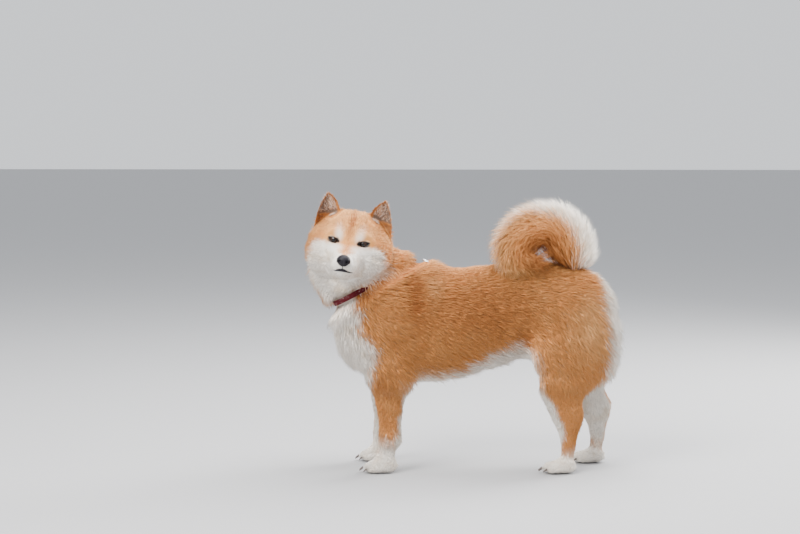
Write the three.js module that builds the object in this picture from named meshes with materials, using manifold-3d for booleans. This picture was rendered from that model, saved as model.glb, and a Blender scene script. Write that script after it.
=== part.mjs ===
// A standing shiba inu, life size, head turned to look over its left shoulder.
// Millimetres, +Z up. The nose end of the body is -X, the dog's right side is +Y.
// Every solid reaches out to the tips of the coat.
import * as THREE from "three";
import { mergeVertices } from "three/addons/utils/BufferGeometryUtils.js";
import Module from "manifold-3d";

const wasm = await Module();
wasm.setup();

// Driving sizes
const GAP = 0.32; // between neighbouring solids
const WITHERS = 384; // top of the coat over the shoulders
const CHEST_DEPTH = 224; // withers to the fringe under the ribs
const BARREL = 87; // half the width of the ribs with their coat
const CHEST_FRONT = -238;
const RUMP_BACK = 286;
const STANCE_FORE = 60; // a forepaw's distance from the middle
const STANCE_HIND = 55;
const FORE_X = { left: -131, right: -145 }; // where each leg stands
const HIND_X = { left: 192, right: 252 };
const ELBOW_CUT = 151; // heights where the legs are parted
const WRIST_CUT = 50;
const STIFLE_CUT = 164;
const ANKLE_CUT = 46;
const EYE_SPACING = 53;
const EYE_RADIUS = 11.5;
const HEAD_PLACE = new THREE.Vector3(-202.7, -92, 424.5); // midway between the eyes
const HEAD_TURN = new THREE.Euler(0.04, 0.152, -0.03, "ZYX"); // pitch, tilt and turn
const COLLAR = { centre: [-172, -4, 340], wide: 9, thick: 3, rise: 0.5, sunk: 8 }; // rise is its lean in radians
const RING = { radius: 9.5, wire: 1.5 }; // the collar's ring
const TAIL_RADIUS = 27; // of the tail's close coat, under its brush
const TAIL_INSIDE = 10; // more of it on the curl's inner side
const SIDES = { left: -1, right: 1 };

const backZ = WITHERS;
const bellyZ = WITHERS - CHEST_DEPTH;

// Fields: each takes a point [x, y, z] and gives about its distance to a form's surface, negative inside.
const rotationOf = (turn) => {
  const m = new THREE.Matrix4().makeRotationFromEuler(new THREE.Euler(...turn, "ZYX")).transpose();
  return m.elements;
};

function egg(centre, radii, turn = [0, 0, 0]) {
  const m = rotationOf(turn);
  const [rx, ry, rz] = radii;
  return (p) => {
    const a = p[0] - centre[0];
    const b = p[1] - centre[1];
    const c = p[2] - centre[2];
    const x = m[0] * a + m[4] * b + m[8] * c;
    const y = m[1] * a + m[5] * b + m[9] * c;
    const z = m[2] * a + m[6] * b + m[10] * c;
    const near = Math.hypot(x / rx, y / ry, z / rz);
    const slope = Math.hypot(x / (rx * rx), y / (ry * ry), z / (rz * rz));
    return slope < 1e-9 ? -Math.min(rx, ry, rz) : (near * (near - 1)) / slope;
  };
}

// A limb from a to b whose radius changes evenly, wide in X and narrower across in Y.
function limb(a, b, ra, rb, across = 1) {
  const d = [b[0] - a[0], (b[1] - a[1]) / across, b[2] - a[2]];
  const length2 = d[0] * d[0] + d[1] * d[1] + d[2] * d[2];
  return (p) => {
    const q = [p[0] - a[0], (p[1] - a[1]) / across, p[2] - a[2]];
    const t = THREE.MathUtils.clamp((q[0] * d[0] + q[1] * d[1] + q[2] * d[2]) / length2, 0, 1);
    const r = THREE.MathUtils.lerp(ra, rb, t);
    const off = Math.hypot(q[0] - d[0] * t, q[1] - d[1] * t, q[2] - d[2] * t);
    return (off - r) * (0.5 + 0.5 * across);
  };
}

function blend(reach, ...fields) {
  return (p) => {
    let d = fields[0](p);
    for (let i = 1; i < fields.length; i++) {
      const e = fields[i](p);
      const h = Math.max(reach - Math.abs(d - e), 0) / reach;
      d = Math.min(d, e) - (h * h * reach) / 4;
    }
    return d;
  };
}

const grown = (field, by) => (p) => field(p) - by;

// Geometry from fields
function slopeOf(field, p, step = 0.5) {
  const g = [0, 1, 2].map((i) => {
    const q = [...p];
    const r = [...p];
    q[i] += step;
    r[i] -= step;
    return (field(q) - field(r)) / (2 * step);
  });
  return g;
}

// The surface of a field inside a box, as a net of quads: one vertex in each cell that the surface crosses.
function netShell(field, low, high, cell) {
  const n = [0, 1, 2].map((i) => Math.ceil((high[i] - low[i]) / cell[i]) + 1);
  const at = (i, j, k) => (i * n[1] + j) * n[2] + k;
  const value = new Float32Array(n[0] * n[1] * n[2]);
  const edge = (i, j, k) => i === 0 || j === 0 || k === 0 || i === n[0] - 1 || j === n[1] - 1 || k === n[2] - 1;
  for (let i = 0; i < n[0]; i++)
    for (let j = 0; j < n[1]; j++)
      for (let k = 0; k < n[2]; k++) {
        const p = [low[0] + i * cell[0], low[1] + j * cell[1], low[2] + k * cell[2]];
        const d = field(p);
        value[at(i, j, k)] = edge(i, j, k) ? Math.max(d, 0.5) : d;
      }
  const cellVertex = new Map();
  const points = [];
  for (let i = 0; i < n[0] - 1; i++)
    for (let j = 0; j < n[1] - 1; j++)
      for (let k = 0; k < n[2] - 1; k++) {
        const sum = [0, 0, 0];
        let crossings = 0;
        for (let corner = 0; corner < 8; corner++)
          for (let axis = 0; axis < 3; axis++) {
            if ((corner >> axis) & 1) continue;
            const other = corner | (1 << axis);
            const a = [i + (corner & 1), j + ((corner >> 1) & 1), k + ((corner >> 2) & 1)];
            const b = [i + (other & 1), j + ((other >> 1) & 1), k + ((other >> 2) & 1)];
            const va = value[at(...a)];
            const vb = value[at(...b)];
            if (va < 0 === vb < 0) continue;
            const t = va / (va - vb);
            for (let m = 0; m < 3; m++) sum[m] += a[m] + (b[m] - a[m]) * t;
            crossings++;
          }
        if (!crossings) continue;
        const p = sum.map((s, m) => low[m] + (s / crossings) * cell[m]);
        for (let round = 0; round < 2; round++) {
          const g = slopeOf(field, p);
          const size2 = g[0] * g[0] + g[1] * g[1] + g[2] * g[2];
          if (size2 < 0.05) break;
          const d = THREE.MathUtils.clamp(field(p), -0.3 * cell[0], 0.3 * cell[0]);
          for (let m = 0; m < 3; m++) p[m] -= (d * g[m]) / size2;
        }
        cellVertex.set(at(i, j, k), points.length / 3);
        points.push(...p);
      }
  const index = [];
  for (let i = 0; i < n[0] - 1; i++)
    for (let j = 0; j < n[1] - 1; j++)
      for (let k = 0; k < n[2] - 1; k++)
        for (let axis = 0; axis < 3; axis++) {
          const here = [i, j, k];
          const next = [i, j, k];
          next[axis]++;
          const va = value[at(...here)];
          const vb = value[at(...next)];
          if (va < 0 === vb < 0) continue;
          const u = (axis + 1) % 3;
          const w = (axis + 2) % 3;
          const quad = [[0, 0], [-1, 0], [-1, -1], [0, -1]].map(([du, dw]) => {
            const c = [...here];
            c[u] += du;
            c[w] += dw;
            return cellVertex.get(at(...c));
          });
          if (va >= 0) quad.reverse();
          index.push(quad[0], quad[1], quad[2], quad[0], quad[2], quad[3]);
        }
  return geometryOf(points, index);
}

function geometryOf(points, index) {
  return new THREE.BufferGeometry()
    .setAttribute("position", new THREE.Float32BufferAttribute(points, 3))
    .setIndex(index);
}

// How far from a point, along a unit direction, a field's surface lies.
function reachOf(field, from, way, most) {
  const at = (t) => field([from[0] + way[0] * t, from[1] + way[1] * t, from[2] + way[2] * t]);
  const steps = 48;
  let inside = 0;
  let outside = most;
  for (let i = 1; i <= steps; i++) {
    const t = (most * i) / steps;
    if (at(t) > 0) {
      outside = t;
      break;
    }
    inside = t;
  }
  for (let i = 0; i < 14; i++) {
    const middle = (inside + outside) / 2;
    if (at(middle) > 0) outside = middle;
    else inside = middle;
  }
  return (inside + outside) / 2;
}

// A closed skin of rings round an axis curve. Each end closes over in capRings rings that lean to its pole.
// The first vertex of a ring lies toward `up`.
function castShell(field, axis, up, sides, rings, capRings, most) {
  const stations = [];
  for (let i = 1; i <= capRings; i++) stations.push([0, (-Math.PI / 2) * (1 - i / (capRings + 1))]);
  for (let i = 0; i < rings; i++) stations.push([rings > 1 ? i / (rings - 1) : 0, 0]);
  for (let i = capRings; i >= 1; i--) stations.push([rings > 1 ? 1 : 0, (Math.PI / 2) * (1 - i / (capRings + 1))]);
  const points = [];
  const cast = (s, lean, angle) => {
    const o = axis.getPoint(s);
    const along = axis.getTangent(s);
    const right = new THREE.Vector3().crossVectors(along, up).normalize();
    const top = new THREE.Vector3().crossVectors(right, along).normalize();
    const way = top.multiplyScalar(Math.cos(angle)).add(right.multiplyScalar(Math.sin(angle)));
    way.multiplyScalar(Math.cos(lean)).addScaledVector(along, Math.sin(lean));
    const reach = reachOf(field, o.toArray(), way.toArray(), most);
    return o.addScaledVector(way, reach).toArray();
  };
  points.push(...cast(0, -Math.PI / 2, 0));
  for (const [s, lean] of stations)
    for (let j = 0; j < sides; j++) points.push(...cast(s, lean, (2 * Math.PI * j) / sides));
  points.push(...cast(rings > 1 ? 1 : 0, Math.PI / 2, 0));
  return geometryOf(points, tubeIndex(sides, stations.length));
}

// Triangles of a closed tube: a pole, rings of `sides` vertices, and a second pole.
function tubeIndex(sides, rings) {
  const index = [];
  const ring = (i, j) => 1 + i * sides + (j % sides);
  const last = 1 + rings * sides;
  for (let j = 0; j < sides; j++) {
    index.push(0, ring(0, j + 1), ring(0, j));
    index.push(last, ring(rings - 1, j), ring(rings - 1, j + 1));
  }
  for (let i = 0; i + 1 < rings; i++)
    for (let j = 0; j < sides; j++) {
      index.push(ring(i, j), ring(i, j + 1), ring(i + 1, j + 1));
      index.push(ring(i, j), ring(i + 1, j + 1), ring(i + 1, j));
    }
  return index;
}

// Even draws from a fixed seed
function draws(seed) {
  let state = seed;
  return (low, high) => {
    state = (state * 1664525 + 1013904223) % 4294967296;
    return low + ((high - low) * state) / 4294967296;
  };
}

// A flat, tapered lock of hair. It starts under the surface, rises, follows the lie, and ends in a point.
// `frame` gives, for a share of its length, the surface point that it lies over and the way out of the surface.
function lockShell({ frame, width, thick, sunk, rise, bend }) {
  const heads = [0, 0.4, 0.76, 1].map((t) => {
    const { foot, away } = frame(t);
    const along = frame(t + 0.02).foot.sub(frame(t - 0.02).foot).normalize();
    const across = new THREE.Vector3().crossVectors(along, away).normalize();
    foot.addScaledVector(away, THREE.MathUtils.lerp(-sunk, rise, 1 - (1 - t) ** 2)).addScaledVector(across, bend * t * t);
    return { foot, away, across };
  });
  const tip = heads.pop();
  const points = [];
  heads.forEach(({ foot, away, across }, i) => {
    const half = (width * [0.8, 1, 0.66][i]) / 2;
    const tall = thick * [1, 1, 0.6][i];
    points.push(foot.clone().addScaledVector(across, half).addScaledVector(away, -tall * 0.35));
    points.push(foot.clone().addScaledVector(away, tall * 0.65));
    points.push(foot.clone().addScaledVector(across, -half).addScaledVector(away, -tall * 0.35));
  });
  points.push(tip.foot);
  const index = [0, 1, 2];
  for (let i = 0; i + 1 < heads.length; i++)
    for (let j = 0; j < 3; j++) {
      const [a, b, c, d] = [i * 3 + j, i * 3 + ((j + 1) % 3), (i + 1) * 3 + ((j + 1) % 3), (i + 1) * 3 + j];
      index.push(a, c, b, a, d, c);
    }
  for (let j = 0; j < 3; j++) index.push(6 + j, 9, 6 + ((j + 1) % 3));
  return solidOf(geometryOf(points.flatMap((p) => p.toArray()), index));
}

// A lock that grows from a field's surface nearest to a place, along a lie
function lockOn(field, place, lie, { length, ...shape }) {
  const settle = (point) => {
    for (let round = 0; round < 4; round++) {
      const g = new THREE.Vector3(...slopeOf(field, point.toArray()));
      point.addScaledVector(g, -field(point.toArray()) / g.lengthSq());
    }
    return new THREE.Vector3(...slopeOf(field, point.toArray())).normalize();
  };
  const root = new THREE.Vector3(...place);
  const out = settle(root);
  const along = new THREE.Vector3(...lie);
  along.addScaledVector(out, -along.dot(out)).normalize();
  const frame = (t) => {
    const foot = root.clone().addScaledVector(along, length * t);
    const away = settle(foot);
    return { foot, away };
  };
  return lockShell({ frame, ...shape });
}

const joined = (first, solids) => solids.reduce((whole, solid) => whole.add(solid), first);

const lineOf = (...points) => new THREE.CatmullRomCurve3(points.map((p) => new THREE.Vector3(...p)), false, "centripetal");

// Solids
function solidOf(geometry, matrix = new THREE.Matrix4()) {
  const bare = new THREE.BufferGeometry().setAttribute("position", geometry.getAttribute("position").clone());
  if (geometry.index) bare.setIndex(geometry.index.clone());
  const merged = mergeVertices(bare.applyMatrix4(matrix), 1e-4);
  const mesh = new wasm.Mesh({
    numProp: 3,
    vertProperties: new Float32Array(merged.attributes.position.array),
    triVerts: new Uint32Array(merged.index.array),
  });
  const solid = new wasm.Manifold(mesh);
  return solid;
}

const largestOf = (solid) => solid.decompose().sort((a, b) => b.volume() - a.volume())[0];

// The slivers that cuts leave are closed up, and so are pockets between locks that touch at a point.
function meshOf(name, solid, material) {
  const mesh = new THREE.Mesh(filledOf(solid.simplify(0.4)), material);
  mesh.name = name;
  return mesh;
}
function filledOf(solid) {
  const kept = largestOf(solid).getMesh();
  return geometryOf([...kept.vertProperties], [...kept.triVerts]);
}

// A box with its middle at a place, as a solid to cut with.
function block(centre, size, turn = [0, 0, 0]) {
  const matrix = new THREE.Matrix4().makeRotationFromEuler(new THREE.Euler(...turn, "ZYX"));
  matrix.setPosition(...centre);
  return solidOf(new THREE.BoxGeometry(...size), matrix);
}

const FAR = 2000;
const above = (z) => block([0, 0, z + FAR / 2], [FAR, FAR, FAR]);
const below = (z) => block([0, 0, z - FAR / 2], [FAR, FAR, FAR]);

// Everything on the far side of a plane through a point, along its direction.
function beyond(point, way) {
  const direction = new THREE.Vector3(...way).normalize();
  const turn = new THREE.Quaternion().setFromUnitVectors(new THREE.Vector3(0, 0, 1), direction);
  const centre = new THREE.Vector3(...point).addScaledVector(direction, FAR / 2);
  const matrix = new THREE.Matrix4().compose(centre, turn, new THREE.Vector3(1, 1, 1));
  return solidOf(new THREE.BoxGeometry(FAR, FAR, FAR), matrix);
}

// The space on one side of the body inside an outline drawn in X and Z.
function sidePrism(outline, side, inner, grow = 0) {
  const middle = outline.reduce((s, p) => [s[0] + p[0] / outline.length, s[1] + p[1] / outline.length], [0, 0]);
  const shape = new THREE.Shape(
    outline.map(([x, z]) => {
      const off = Math.hypot(x - middle[0], z - middle[1]);
      const k = 1 + (grow * 1.6) / off;
      return new THREE.Vector2(middle[0] + (x - middle[0]) * k, middle[1] + (z - middle[1]) * k);
    }),
  );
  const depth = 200;
  const geometry = new THREE.ExtrudeGeometry(shape, { depth, bevelEnabled: false, curveSegments: 1 });
  // the extrusion runs along the shape's normal, which is turned to lie along Y
  const matrix = new THREE.Matrix4().makeRotationX(Math.PI / 2);
  const start = side > 0 ? inner - grow + depth : -(inner - grow);
  matrix.setPosition(0, start, 0);
  return solidOf(geometry, matrix);
}

// Coat colours
const coat = (color, roughness = 0.9) => new THREE.MeshStandardMaterial({ color, roughness, metalness: 0 });
const red = coat(0xc88545);
const cream = coat(0xe9dccb);
const black = new THREE.MeshStandardMaterial({ color: 0x1c1718, roughness: 0.45, metalness: 0 });
const eyeBrown = new THREE.MeshStandardMaterial({ color: 0x1a0f0c, roughness: 0.08, metalness: 0 });
const horn = new THREE.MeshStandardMaterial({ color: 0x3a302c, roughness: 0.5, metalness: 0 });
const webbing = new THREE.MeshStandardMaterial({ color: 0x7d1f2c, roughness: 0.8, metalness: 0 });
const steel = new THREE.MeshStandardMaterial({ color: 0xb8b8bc, roughness: 0.3, metalness: 1 });

// The trunk: [x, top, bottom, half width] from the chest to the rump, closed by round ends.
const BARREL_STATIONS = [
  [-190, 366, 186, 66],
  [-150, backZ - 4, bellyZ + 10, 78],
  [-100, backZ, bellyZ, BARREL - 2],
  [-30, backZ - 10, bellyZ + 6, BARREL],
  [30, backZ - 8, bellyZ + 22, BARREL - 3],
  [90, backZ - 2, bellyZ + 38, BARREL - 9],
  [150, backZ, bellyZ + 56, BARREL - 12],
  [214, backZ - 11, bellyZ + 74, BARREL - 14],
];

const barrel = (() => {
  const first = BARREL_STATIONS[0];
  const last = BARREL_STATIONS[BARREL_STATIONS.length - 1];
  const frontEnd = first[0] - CHEST_FRONT;
  const backEnd = RUMP_BACK - last[0];
  const shape = BARREL_STATIONS.map(([x, top, bottom, half]) => ({ x, middle: (top + bottom) / 2, tall: (top - bottom) / 2, half }));
  const smooth = (key, i, t) => {
    const v = [i - 1, i, i + 1, i + 2].map((m) => shape[THREE.MathUtils.clamp(m, 0, shape.length - 1)][key]);
    const slopes = [(v[2] - v[0]) / 2, (v[3] - v[1]) / 2];
    const t2 = t * t;
    const t3 = t2 * t;
    return (2 * t3 - 3 * t2 + 1) * v[1] + (t3 - 2 * t2 + t) * slopes[0] + (3 * t2 - 2 * t3) * v[2] + (t3 - t2) * slopes[1];
  };
  return (p) => {
    const x = THREE.MathUtils.clamp(p[0], first[0], last[0]);
    let i = 0;
    while (i < shape.length - 2 && x > shape[i + 1].x) i++;
    const t = (x - shape[i].x) / (shape[i + 1].x - shape[i].x);
    const middle = smooth("middle", i, t);
    const tall = smooth("tall", i, t);
    const half = smooth("half", i, t);
    const end = p[0] < x ? frontEnd : backEnd;
    const q = [(p[0] - x) / end, p[1] / half, (p[2] - middle) / tall];
    // the ribs narrow a little toward the keel
    q[1] *= 1 + 0.1 * Math.max(0, -q[2]);
    const near = Math.hypot(...q);
    const slope = Math.hypot(q[0] / end, q[1] / half, q[2] / tall);
    return slope < 1e-9 ? -half : (near * (near - 1)) / slope;
  };
})();

// Legs of one side, each as the fields of its parts from the top down.
function foreleg(side, x) {
  const y = side * STANCE_FORE;
  return {
    x,
    y,
    shoulder: egg([-148, side * 50, 262], [56, 36, 82], [0, 0.28, 0]),
    upperArm: limb([-144, side * 54, 236], [x + 8, y, 186], 46, 37, 0.8),
    forearm: limb([x, y, 184], [x + 2, y, 62], 36, 18.5, 0.86),
    pastern: limb([x + 2, y, 62], [x - 10, y, 24], 19, 16, 0.95),
  };
}

function hindleg(side, x) {
  const y = side * STANCE_HIND;
  const back = x - HIND_X.left;
  return {
    x,
    y,
    thigh: egg([206 + back * 0.16, side * 46, 246], [78, 38, 88], [0, -0.3, 0]),
    breech: egg([236 + back * 0.22, side * 43, 240], [41, 31, 66], [0, 0.1, 0]),
    lowerThigh: limb([186 + back * 0.34, side * 52, 206], [x - 4 - back * 0.14, y, 122], 57, 26, 0.66),
    gaskin: limb([x - 14 - back * 0.16, y, 150], [x + 4 - back * 0.04, y, 106], 30, 21, 0.8),
    hock: limb([x + 5, y, 108], [x + 4, y, 46], 19, 16, 0.86),
  };
}

const forelegs = { left: foreleg(-1, FORE_X.left), right: foreleg(1, FORE_X.right) };
const hindlegs = { left: hindleg(-1, HIND_X.left), right: hindleg(1, HIND_X.right) };
const legField = (leg) => blend(26, leg.shoulder, leg.upperArm, leg.forearm);
const hindField = (leg) => blend(26, blend(30, leg.thigh, leg.breech), leg.lowerThigh, leg.gaskin, leg.hock);

// The neck under the collar, and the ruff that stands out above it
const neckField = blend(
  40,
  limb([-112, 0, 312], [-160, -3, 344], 78, 70),
  egg([-211, -6, 378], [73, 72, 72], [0, -0.5, 0]),
);

// The collar lies in a plane of its own: u runs up and back along it, v across the dog, n away from it.
const collarAxes = {
  u: new THREE.Vector3(Math.cos(COLLAR.rise), 0, Math.sin(COLLAR.rise)),
  v: new THREE.Vector3(0, 1, 0),
  n: new THREE.Vector3(-Math.sin(COLLAR.rise), 0, Math.cos(COLLAR.rise)),
};
const collarPoint = (u, v, n) =>
  new THREE.Vector3(...COLLAR.centre)
    .addScaledVector(collarAxes.u, u)
    .addScaledVector(collarAxes.v, v)
    .addScaledVector(collarAxes.n, n);

// How deep the collar presses into the coat, by the distance from its plane
const groove = (p) => {
  const n = new THREE.Vector3(...p).sub(new THREE.Vector3(...COLLAR.centre)).dot(collarAxes.n);
  return COLLAR.sunk * Math.exp(-((n / COLLAR.wide) ** 2));
};

const bodyField = (() => {
  const trunk = blend(46, barrel, neckField);
  const parts = [forelegs.left, forelegs.right].map(legField).concat([hindlegs.left, hindlegs.right].map(hindField));
  const reach = 22;
  return (p) => {
    let d = trunk(p);
    for (const part of parts) {
      const e = part(p);
      const h = Math.max(reach - Math.abs(d - e), 0) / reach;
      d = Math.min(d, e) - (h * h * reach) / 4;
    }
    return d;
  };
})();
const neckSkin = (p) => bodyField(p) + groove(p);

const CELL = [18, 16.5, 17];
const bodyNet = netShell(bodyField, [-300, -130, 130], [316, 130, 490], CELL);
const bodySolid = solidOf(bodyNet);

// The same net with each vertex moved outward
function swollen(geometry, field, by) {
  const position = geometry.getAttribute("position");
  const points = [];
  for (let i = 0; i < position.count; i++) {
    const p = [position.getX(i), position.getY(i), position.getZ(i)];
    const way = new THREE.Vector3(...slopeOf(field, p)).normalize();
    points.push(p[0] + way.x * by, p[1] + way.y * by, p[2] + way.z * by);
  }
  return geometryOf(points, [...geometry.index.array]);
}
const bodyGrown = solidOf(swollen(bodyNet, bodyField, GAP * 1.2));

// The head, in its own frame: x to the dog's left, -y toward the nose, z up, the middle of the eyes at the origin.
const headMatrix = new THREE.Matrix4().makeRotationFromEuler(HEAD_TURN).setPosition(HEAD_PLACE);
const both = (make) => [make(-1), make(1)];
const headField = blend(
  12,
  blend(
    24,
    egg([0, 60, 1], [66, 63, 52]),
    ...both((s) => egg([s * 44, 48, -28], [37, 47, 43], [0, 0, s * 0.25])),
    egg([0, 56, -46], [58, 48, 38]),
    limb([0, 18, -29], [0, -12, -33], 34, 26),
  ),
  blend(8, limb([0, 4, -31], [0, -33, -34], 27, 19), ...both((s) => egg([s * 11.5, -33, -38], [14.5, 18, 13]))),
  limb([0, 34, -50], [0, -28, -50], 22, 11.5),
  ...both((s) => egg([s * 22, 13, 14], [15, 12, 9], [0, 0, s * 0.3])),
);

const headAxis = lineOf([0, 84, 0], [0, 44, -6], [0, 4, -22], [0, -31, -37]);
const headUp = new THREE.Vector3(0, 0, 1);
const headShell = (grow) => solidOf(castShell(grown(headField, grow), headAxis, headUp, 26, 14, 4, 130), headMatrix);

const NOSE = { centre: [0, -48.5, -28], radii: [13.2, 11.2, 11.2] };
const noseField = egg(NOSE.centre, NOSE.radii, [-0.2, 0, 0]);
const noseLine = lineOf([0, -46, -28], [0, -51, -28]);
const noseShell = () => solidOf(castShell(noseField, noseLine, headUp, 14, 2, 3, 30), headMatrix);
const nostril = (s) => {
  const field = egg([s * 6.8, -57.5, -28.5], [3.4, 5, 2.4], [0, s * 0.5, s * 0.5]);
  const line = lineOf([s * 6.8, -59, -28.5], [s * 6.8, -56, -28.5]);
  return solidOf(castShell(field, line, headUp, 6, 2, 1, 20), headMatrix);
};

const eyeCentre = (s) => new THREE.Vector3((s * EYE_SPACING) / 2, EYE_RADIUS + 0.5, 0);
function ball(centre, radius, segments, matrix = headMatrix) {
  const place = matrix.clone().multiply(new THREE.Matrix4().setPosition(centre));
  return solidOf(new THREE.SphereGeometry(radius, segments, Math.round(segments * 0.6)), place);
}

// The opening between the lids, wider at its outer end and slanting up and out
function lidOpening(s) {
  const outline = [[-9.6, -2], [-5.6, 1.6], [-0.6, 4.7], [4, 5.4], [7.6, 4.2], [10, 2.2], [6.4, -2.6], [1.6, -4.8], [-4.4, -4.4]];
  const shape = new THREE.Shape(outline.map(([x, z]) => new THREE.Vector2(x * s, z)));
  const geometry = new THREE.ExtrudeGeometry(shape, { depth: 30, bevelEnabled: false, curveSegments: 1 });
  const turn = new THREE.Matrix4().makeRotationX(Math.PI / 2);
  const slant = new THREE.Matrix4().makeRotationY(-s * 0.14);
  const place = new THREE.Matrix4().setPosition(eyeCentre(s));
  return solidOf(geometry, headMatrix.clone().multiply(place).multiply(slant).multiply(turn));
}

// An ear: a leaf that opens forward. Each ring runs over its back from rim to rim and returns inside.
const EAR = { tip: [53, 47, 81], outer: [71, 56, 17], inner: [27, 54, 50], deep: 15, thick: 4 };
function earShell(s) {
  const arc = 5;
  const levels = [-0.3, 0.02, 0.2, 0.4, 0.6, 0.8, 0.96];
  const [tip, outer, inner] = [EAR.tip, EAR.outer, EAR.inner].map((p) => new THREE.Vector3(...p));
  const points = [];
  for (const v of levels) {
    const swell = Math.sin(Math.PI * THREE.MathUtils.clamp(v, 0, 1)) * 4;
    const a = outer.clone().lerp(tip, v).add(new THREE.Vector3(swell * 1.1, 0, swell * 0.3));
    const b = inner.clone().lerp(tip, v).add(new THREE.Vector3(-swell, 0, swell * 0.4));
    const deep = EAR.deep * (1 - 0.86 * Math.max(v, 0));
    const thick = EAR.thick * (1 - 0.35 * Math.max(v, 0));
    const at = (t, back) => a.clone().lerp(b, t).add(new THREE.Vector3(0.25, 1, -0.1).multiplyScalar(deep * 4 * t * (1 - t) + back));
    for (let i = 0; i <= arc; i++) points.push(at(i / arc, thick));
    for (let i = arc; i >= 0; i--) points.push(at(i / arc, 0));
  }
  const sides = 2 * arc + 2;
  const index = [];
  const ring = (i, j) => i * sides + (j % sides);
  for (let i = 0; i + 1 < levels.length; i++)
    for (let j = 0; j < sides; j++) {
      index.push(ring(i, j), ring(i + 1, j), ring(i + 1, j + 1));
      index.push(ring(i, j), ring(i + 1, j + 1), ring(i, j + 1));
    }
  const last = levels.length - 1;
  for (let i = 0; i < arc; i++) {
    const pairs = [i, i + 1, sides - 2 - i, sides - 1 - i];
    const [p, q, r, t] = pairs.map((j) => ring(0, j));
    index.push(p, q, r, p, r, t);
    const [a, b, c, d] = pairs.map((j) => ring(last, j));
    index.push(a, c, b, a, d, c);
  }
  if (s > 0) for (let i = 0; i < index.length; i += 3) [index[i], index[i + 1]] = [index[i + 1], index[i]];
  return solidOf(geometryOf(points.flatMap((p) => [p.x * s, p.y, p.z]), index), headMatrix);
}

// The line of the mouth: a groove round the muzzle, level in front and drooping toward its corners
function mouthCut() {
  const half = [[0, -46], [9, -49], [17, -51], [24, -49], [29, -46]];
  const depth = [[0, -66], [9, -56], [17, -42], [24, -26], [29, -6]];
  const points = [];
  const surface = (x, z, y) => {
    const from = [x * 0.35, y + 34, z * 0.5 - 19];
    const way = new THREE.Vector3(x - from[0], y - from[1], z - from[2]).normalize();
    const reach = reachOf(headField, from, way.toArray(), 70);
    return new THREE.Vector3(...from).addScaledVector(way, reach - 0.4);
  };
  for (let i = half.length - 1; i > 0; i--) points.push(surface(-half[i][0], half[i][1], depth[i][1]));
  for (let i = 0; i < half.length; i++) points.push(surface(half[i][0], half[i][1], depth[i][1]));
  const path = new THREE.CatmullRomCurve3(points, false, "centripetal");
  return solidOf(closedTube(path, 16, 5, (t) => 0.6 + 1.5 * Math.sin(Math.PI * t) ** 0.5), headMatrix);
}

// A closed round tube whose radius follows a function of the way along it
function closedTube(path, rings, sides, radius) {
  const frames = path.computeFrenetFrames(rings - 1, false);
  const points = [...path.getPointAt(0).toArray()];
  for (let i = 0; i < rings; i++) {
    const t = i / (rings - 1);
    const along = THREE.MathUtils.lerp(0.004, 0.996, t);
    for (let j = 0; j < sides; j++) {
      const a = (2 * Math.PI * j) / sides;
      const o = path
        .getPointAt(along)
        .addScaledVector(frames.normals[i], Math.cos(a) * radius(t))
        .addScaledVector(frames.binormals[i], Math.sin(a) * radius(t));
      points.push(...o.toArray());
    }
  }
  points.push(...path.getPointAt(1).toArray());
  return geometryOf(points, tubeIndex(sides, rings));
}

// The collar: a band that follows the coat in its groove. `out` and `side` move its faces outward.
function bandRing(inner, out, half) {
  const stations = 30;
  const points = [];
  for (let i = 0; i < stations; i++) {
    const a = (2 * Math.PI * i) / stations;
    for (const n of [-half, half]) {
      const way = collarAxes.u.clone().multiplyScalar(Math.cos(a)).addScaledVector(collarAxes.v, Math.sin(a));
      const reach = reachOf(neckSkin, COLLAR.centre, way.toArray(), 120);
      const foot = collarPoint(0, 0, n);
      points.push(foot.clone().addScaledVector(way, reach + inner), foot.clone().addScaledVector(way, reach + out));
    }
  }
  const index = [];
  const at = (i, k) => (i % stations) * 4 + k;
  for (let i = 0; i < stations; i++)
    for (const [k, m] of [[0, 2], [2, 3], [3, 1], [1, 0]]) {
      index.push(at(i, k), at(i + 1, m), at(i + 1, k));
      index.push(at(i, k), at(i, m), at(i + 1, m));
    }
  return solidOf(geometryOf(points.flatMap((p) => p.toArray()), index));
}

// Outlines of the leg tops in the side view, X then Z
const shoulderOutline = [[-206, -20], [-206, 200], [-192, 262], [-158, 308], [-122, 308], [-92, 262], [-74, 214], [-74, -20]];
const thighOutline = (x) => [
  [x - 74, -20], [x - 74, 140], [124, 190], [120, 238], [142, 292], [182, 330], [224, 336], [262, 304], [340, 304], [340, -20],
];
const LEG_INNER = 16; // the parting between a leg's top and the trunk

const dog = new THREE.Group();
dog.name = "dog";
const add = (name, solid, material) => dog.add(meshOf(name, solid, material));

const collarSlot = bandRing(-COLLAR.thick - GAP, 30, COLLAR.wide / 2 + GAP);
const claws = [];

// Head
const head = (() => {
  let solid = headShell(0).subtract(mouthCut());
  for (const s of [-1, 1]) {
    const centre = eyeCentre(s);
    solid = solid.add(ball(centre, EYE_RADIUS + 1.9, 14)).subtract(ball(centre, EYE_RADIUS + GAP, 14)).subtract(lidOpening(s));
  }
  return solid.subtract(collarSlot);
})();
const headGrown = headShell(GAP);
add("head", head, red);
add("nose", noseShell().subtract(nostril(1)).subtract(nostril(-1)).subtract(headGrown), black);
for (const [name, s] of [["left", 1], ["right", -1]]) {
  add(`eye_${name}`, ball(eyeCentre(s), EYE_RADIUS, 14), eyeBrown);
  add(`ear_${name}`, earShell(s).subtract(headGrown), red);
}

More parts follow.
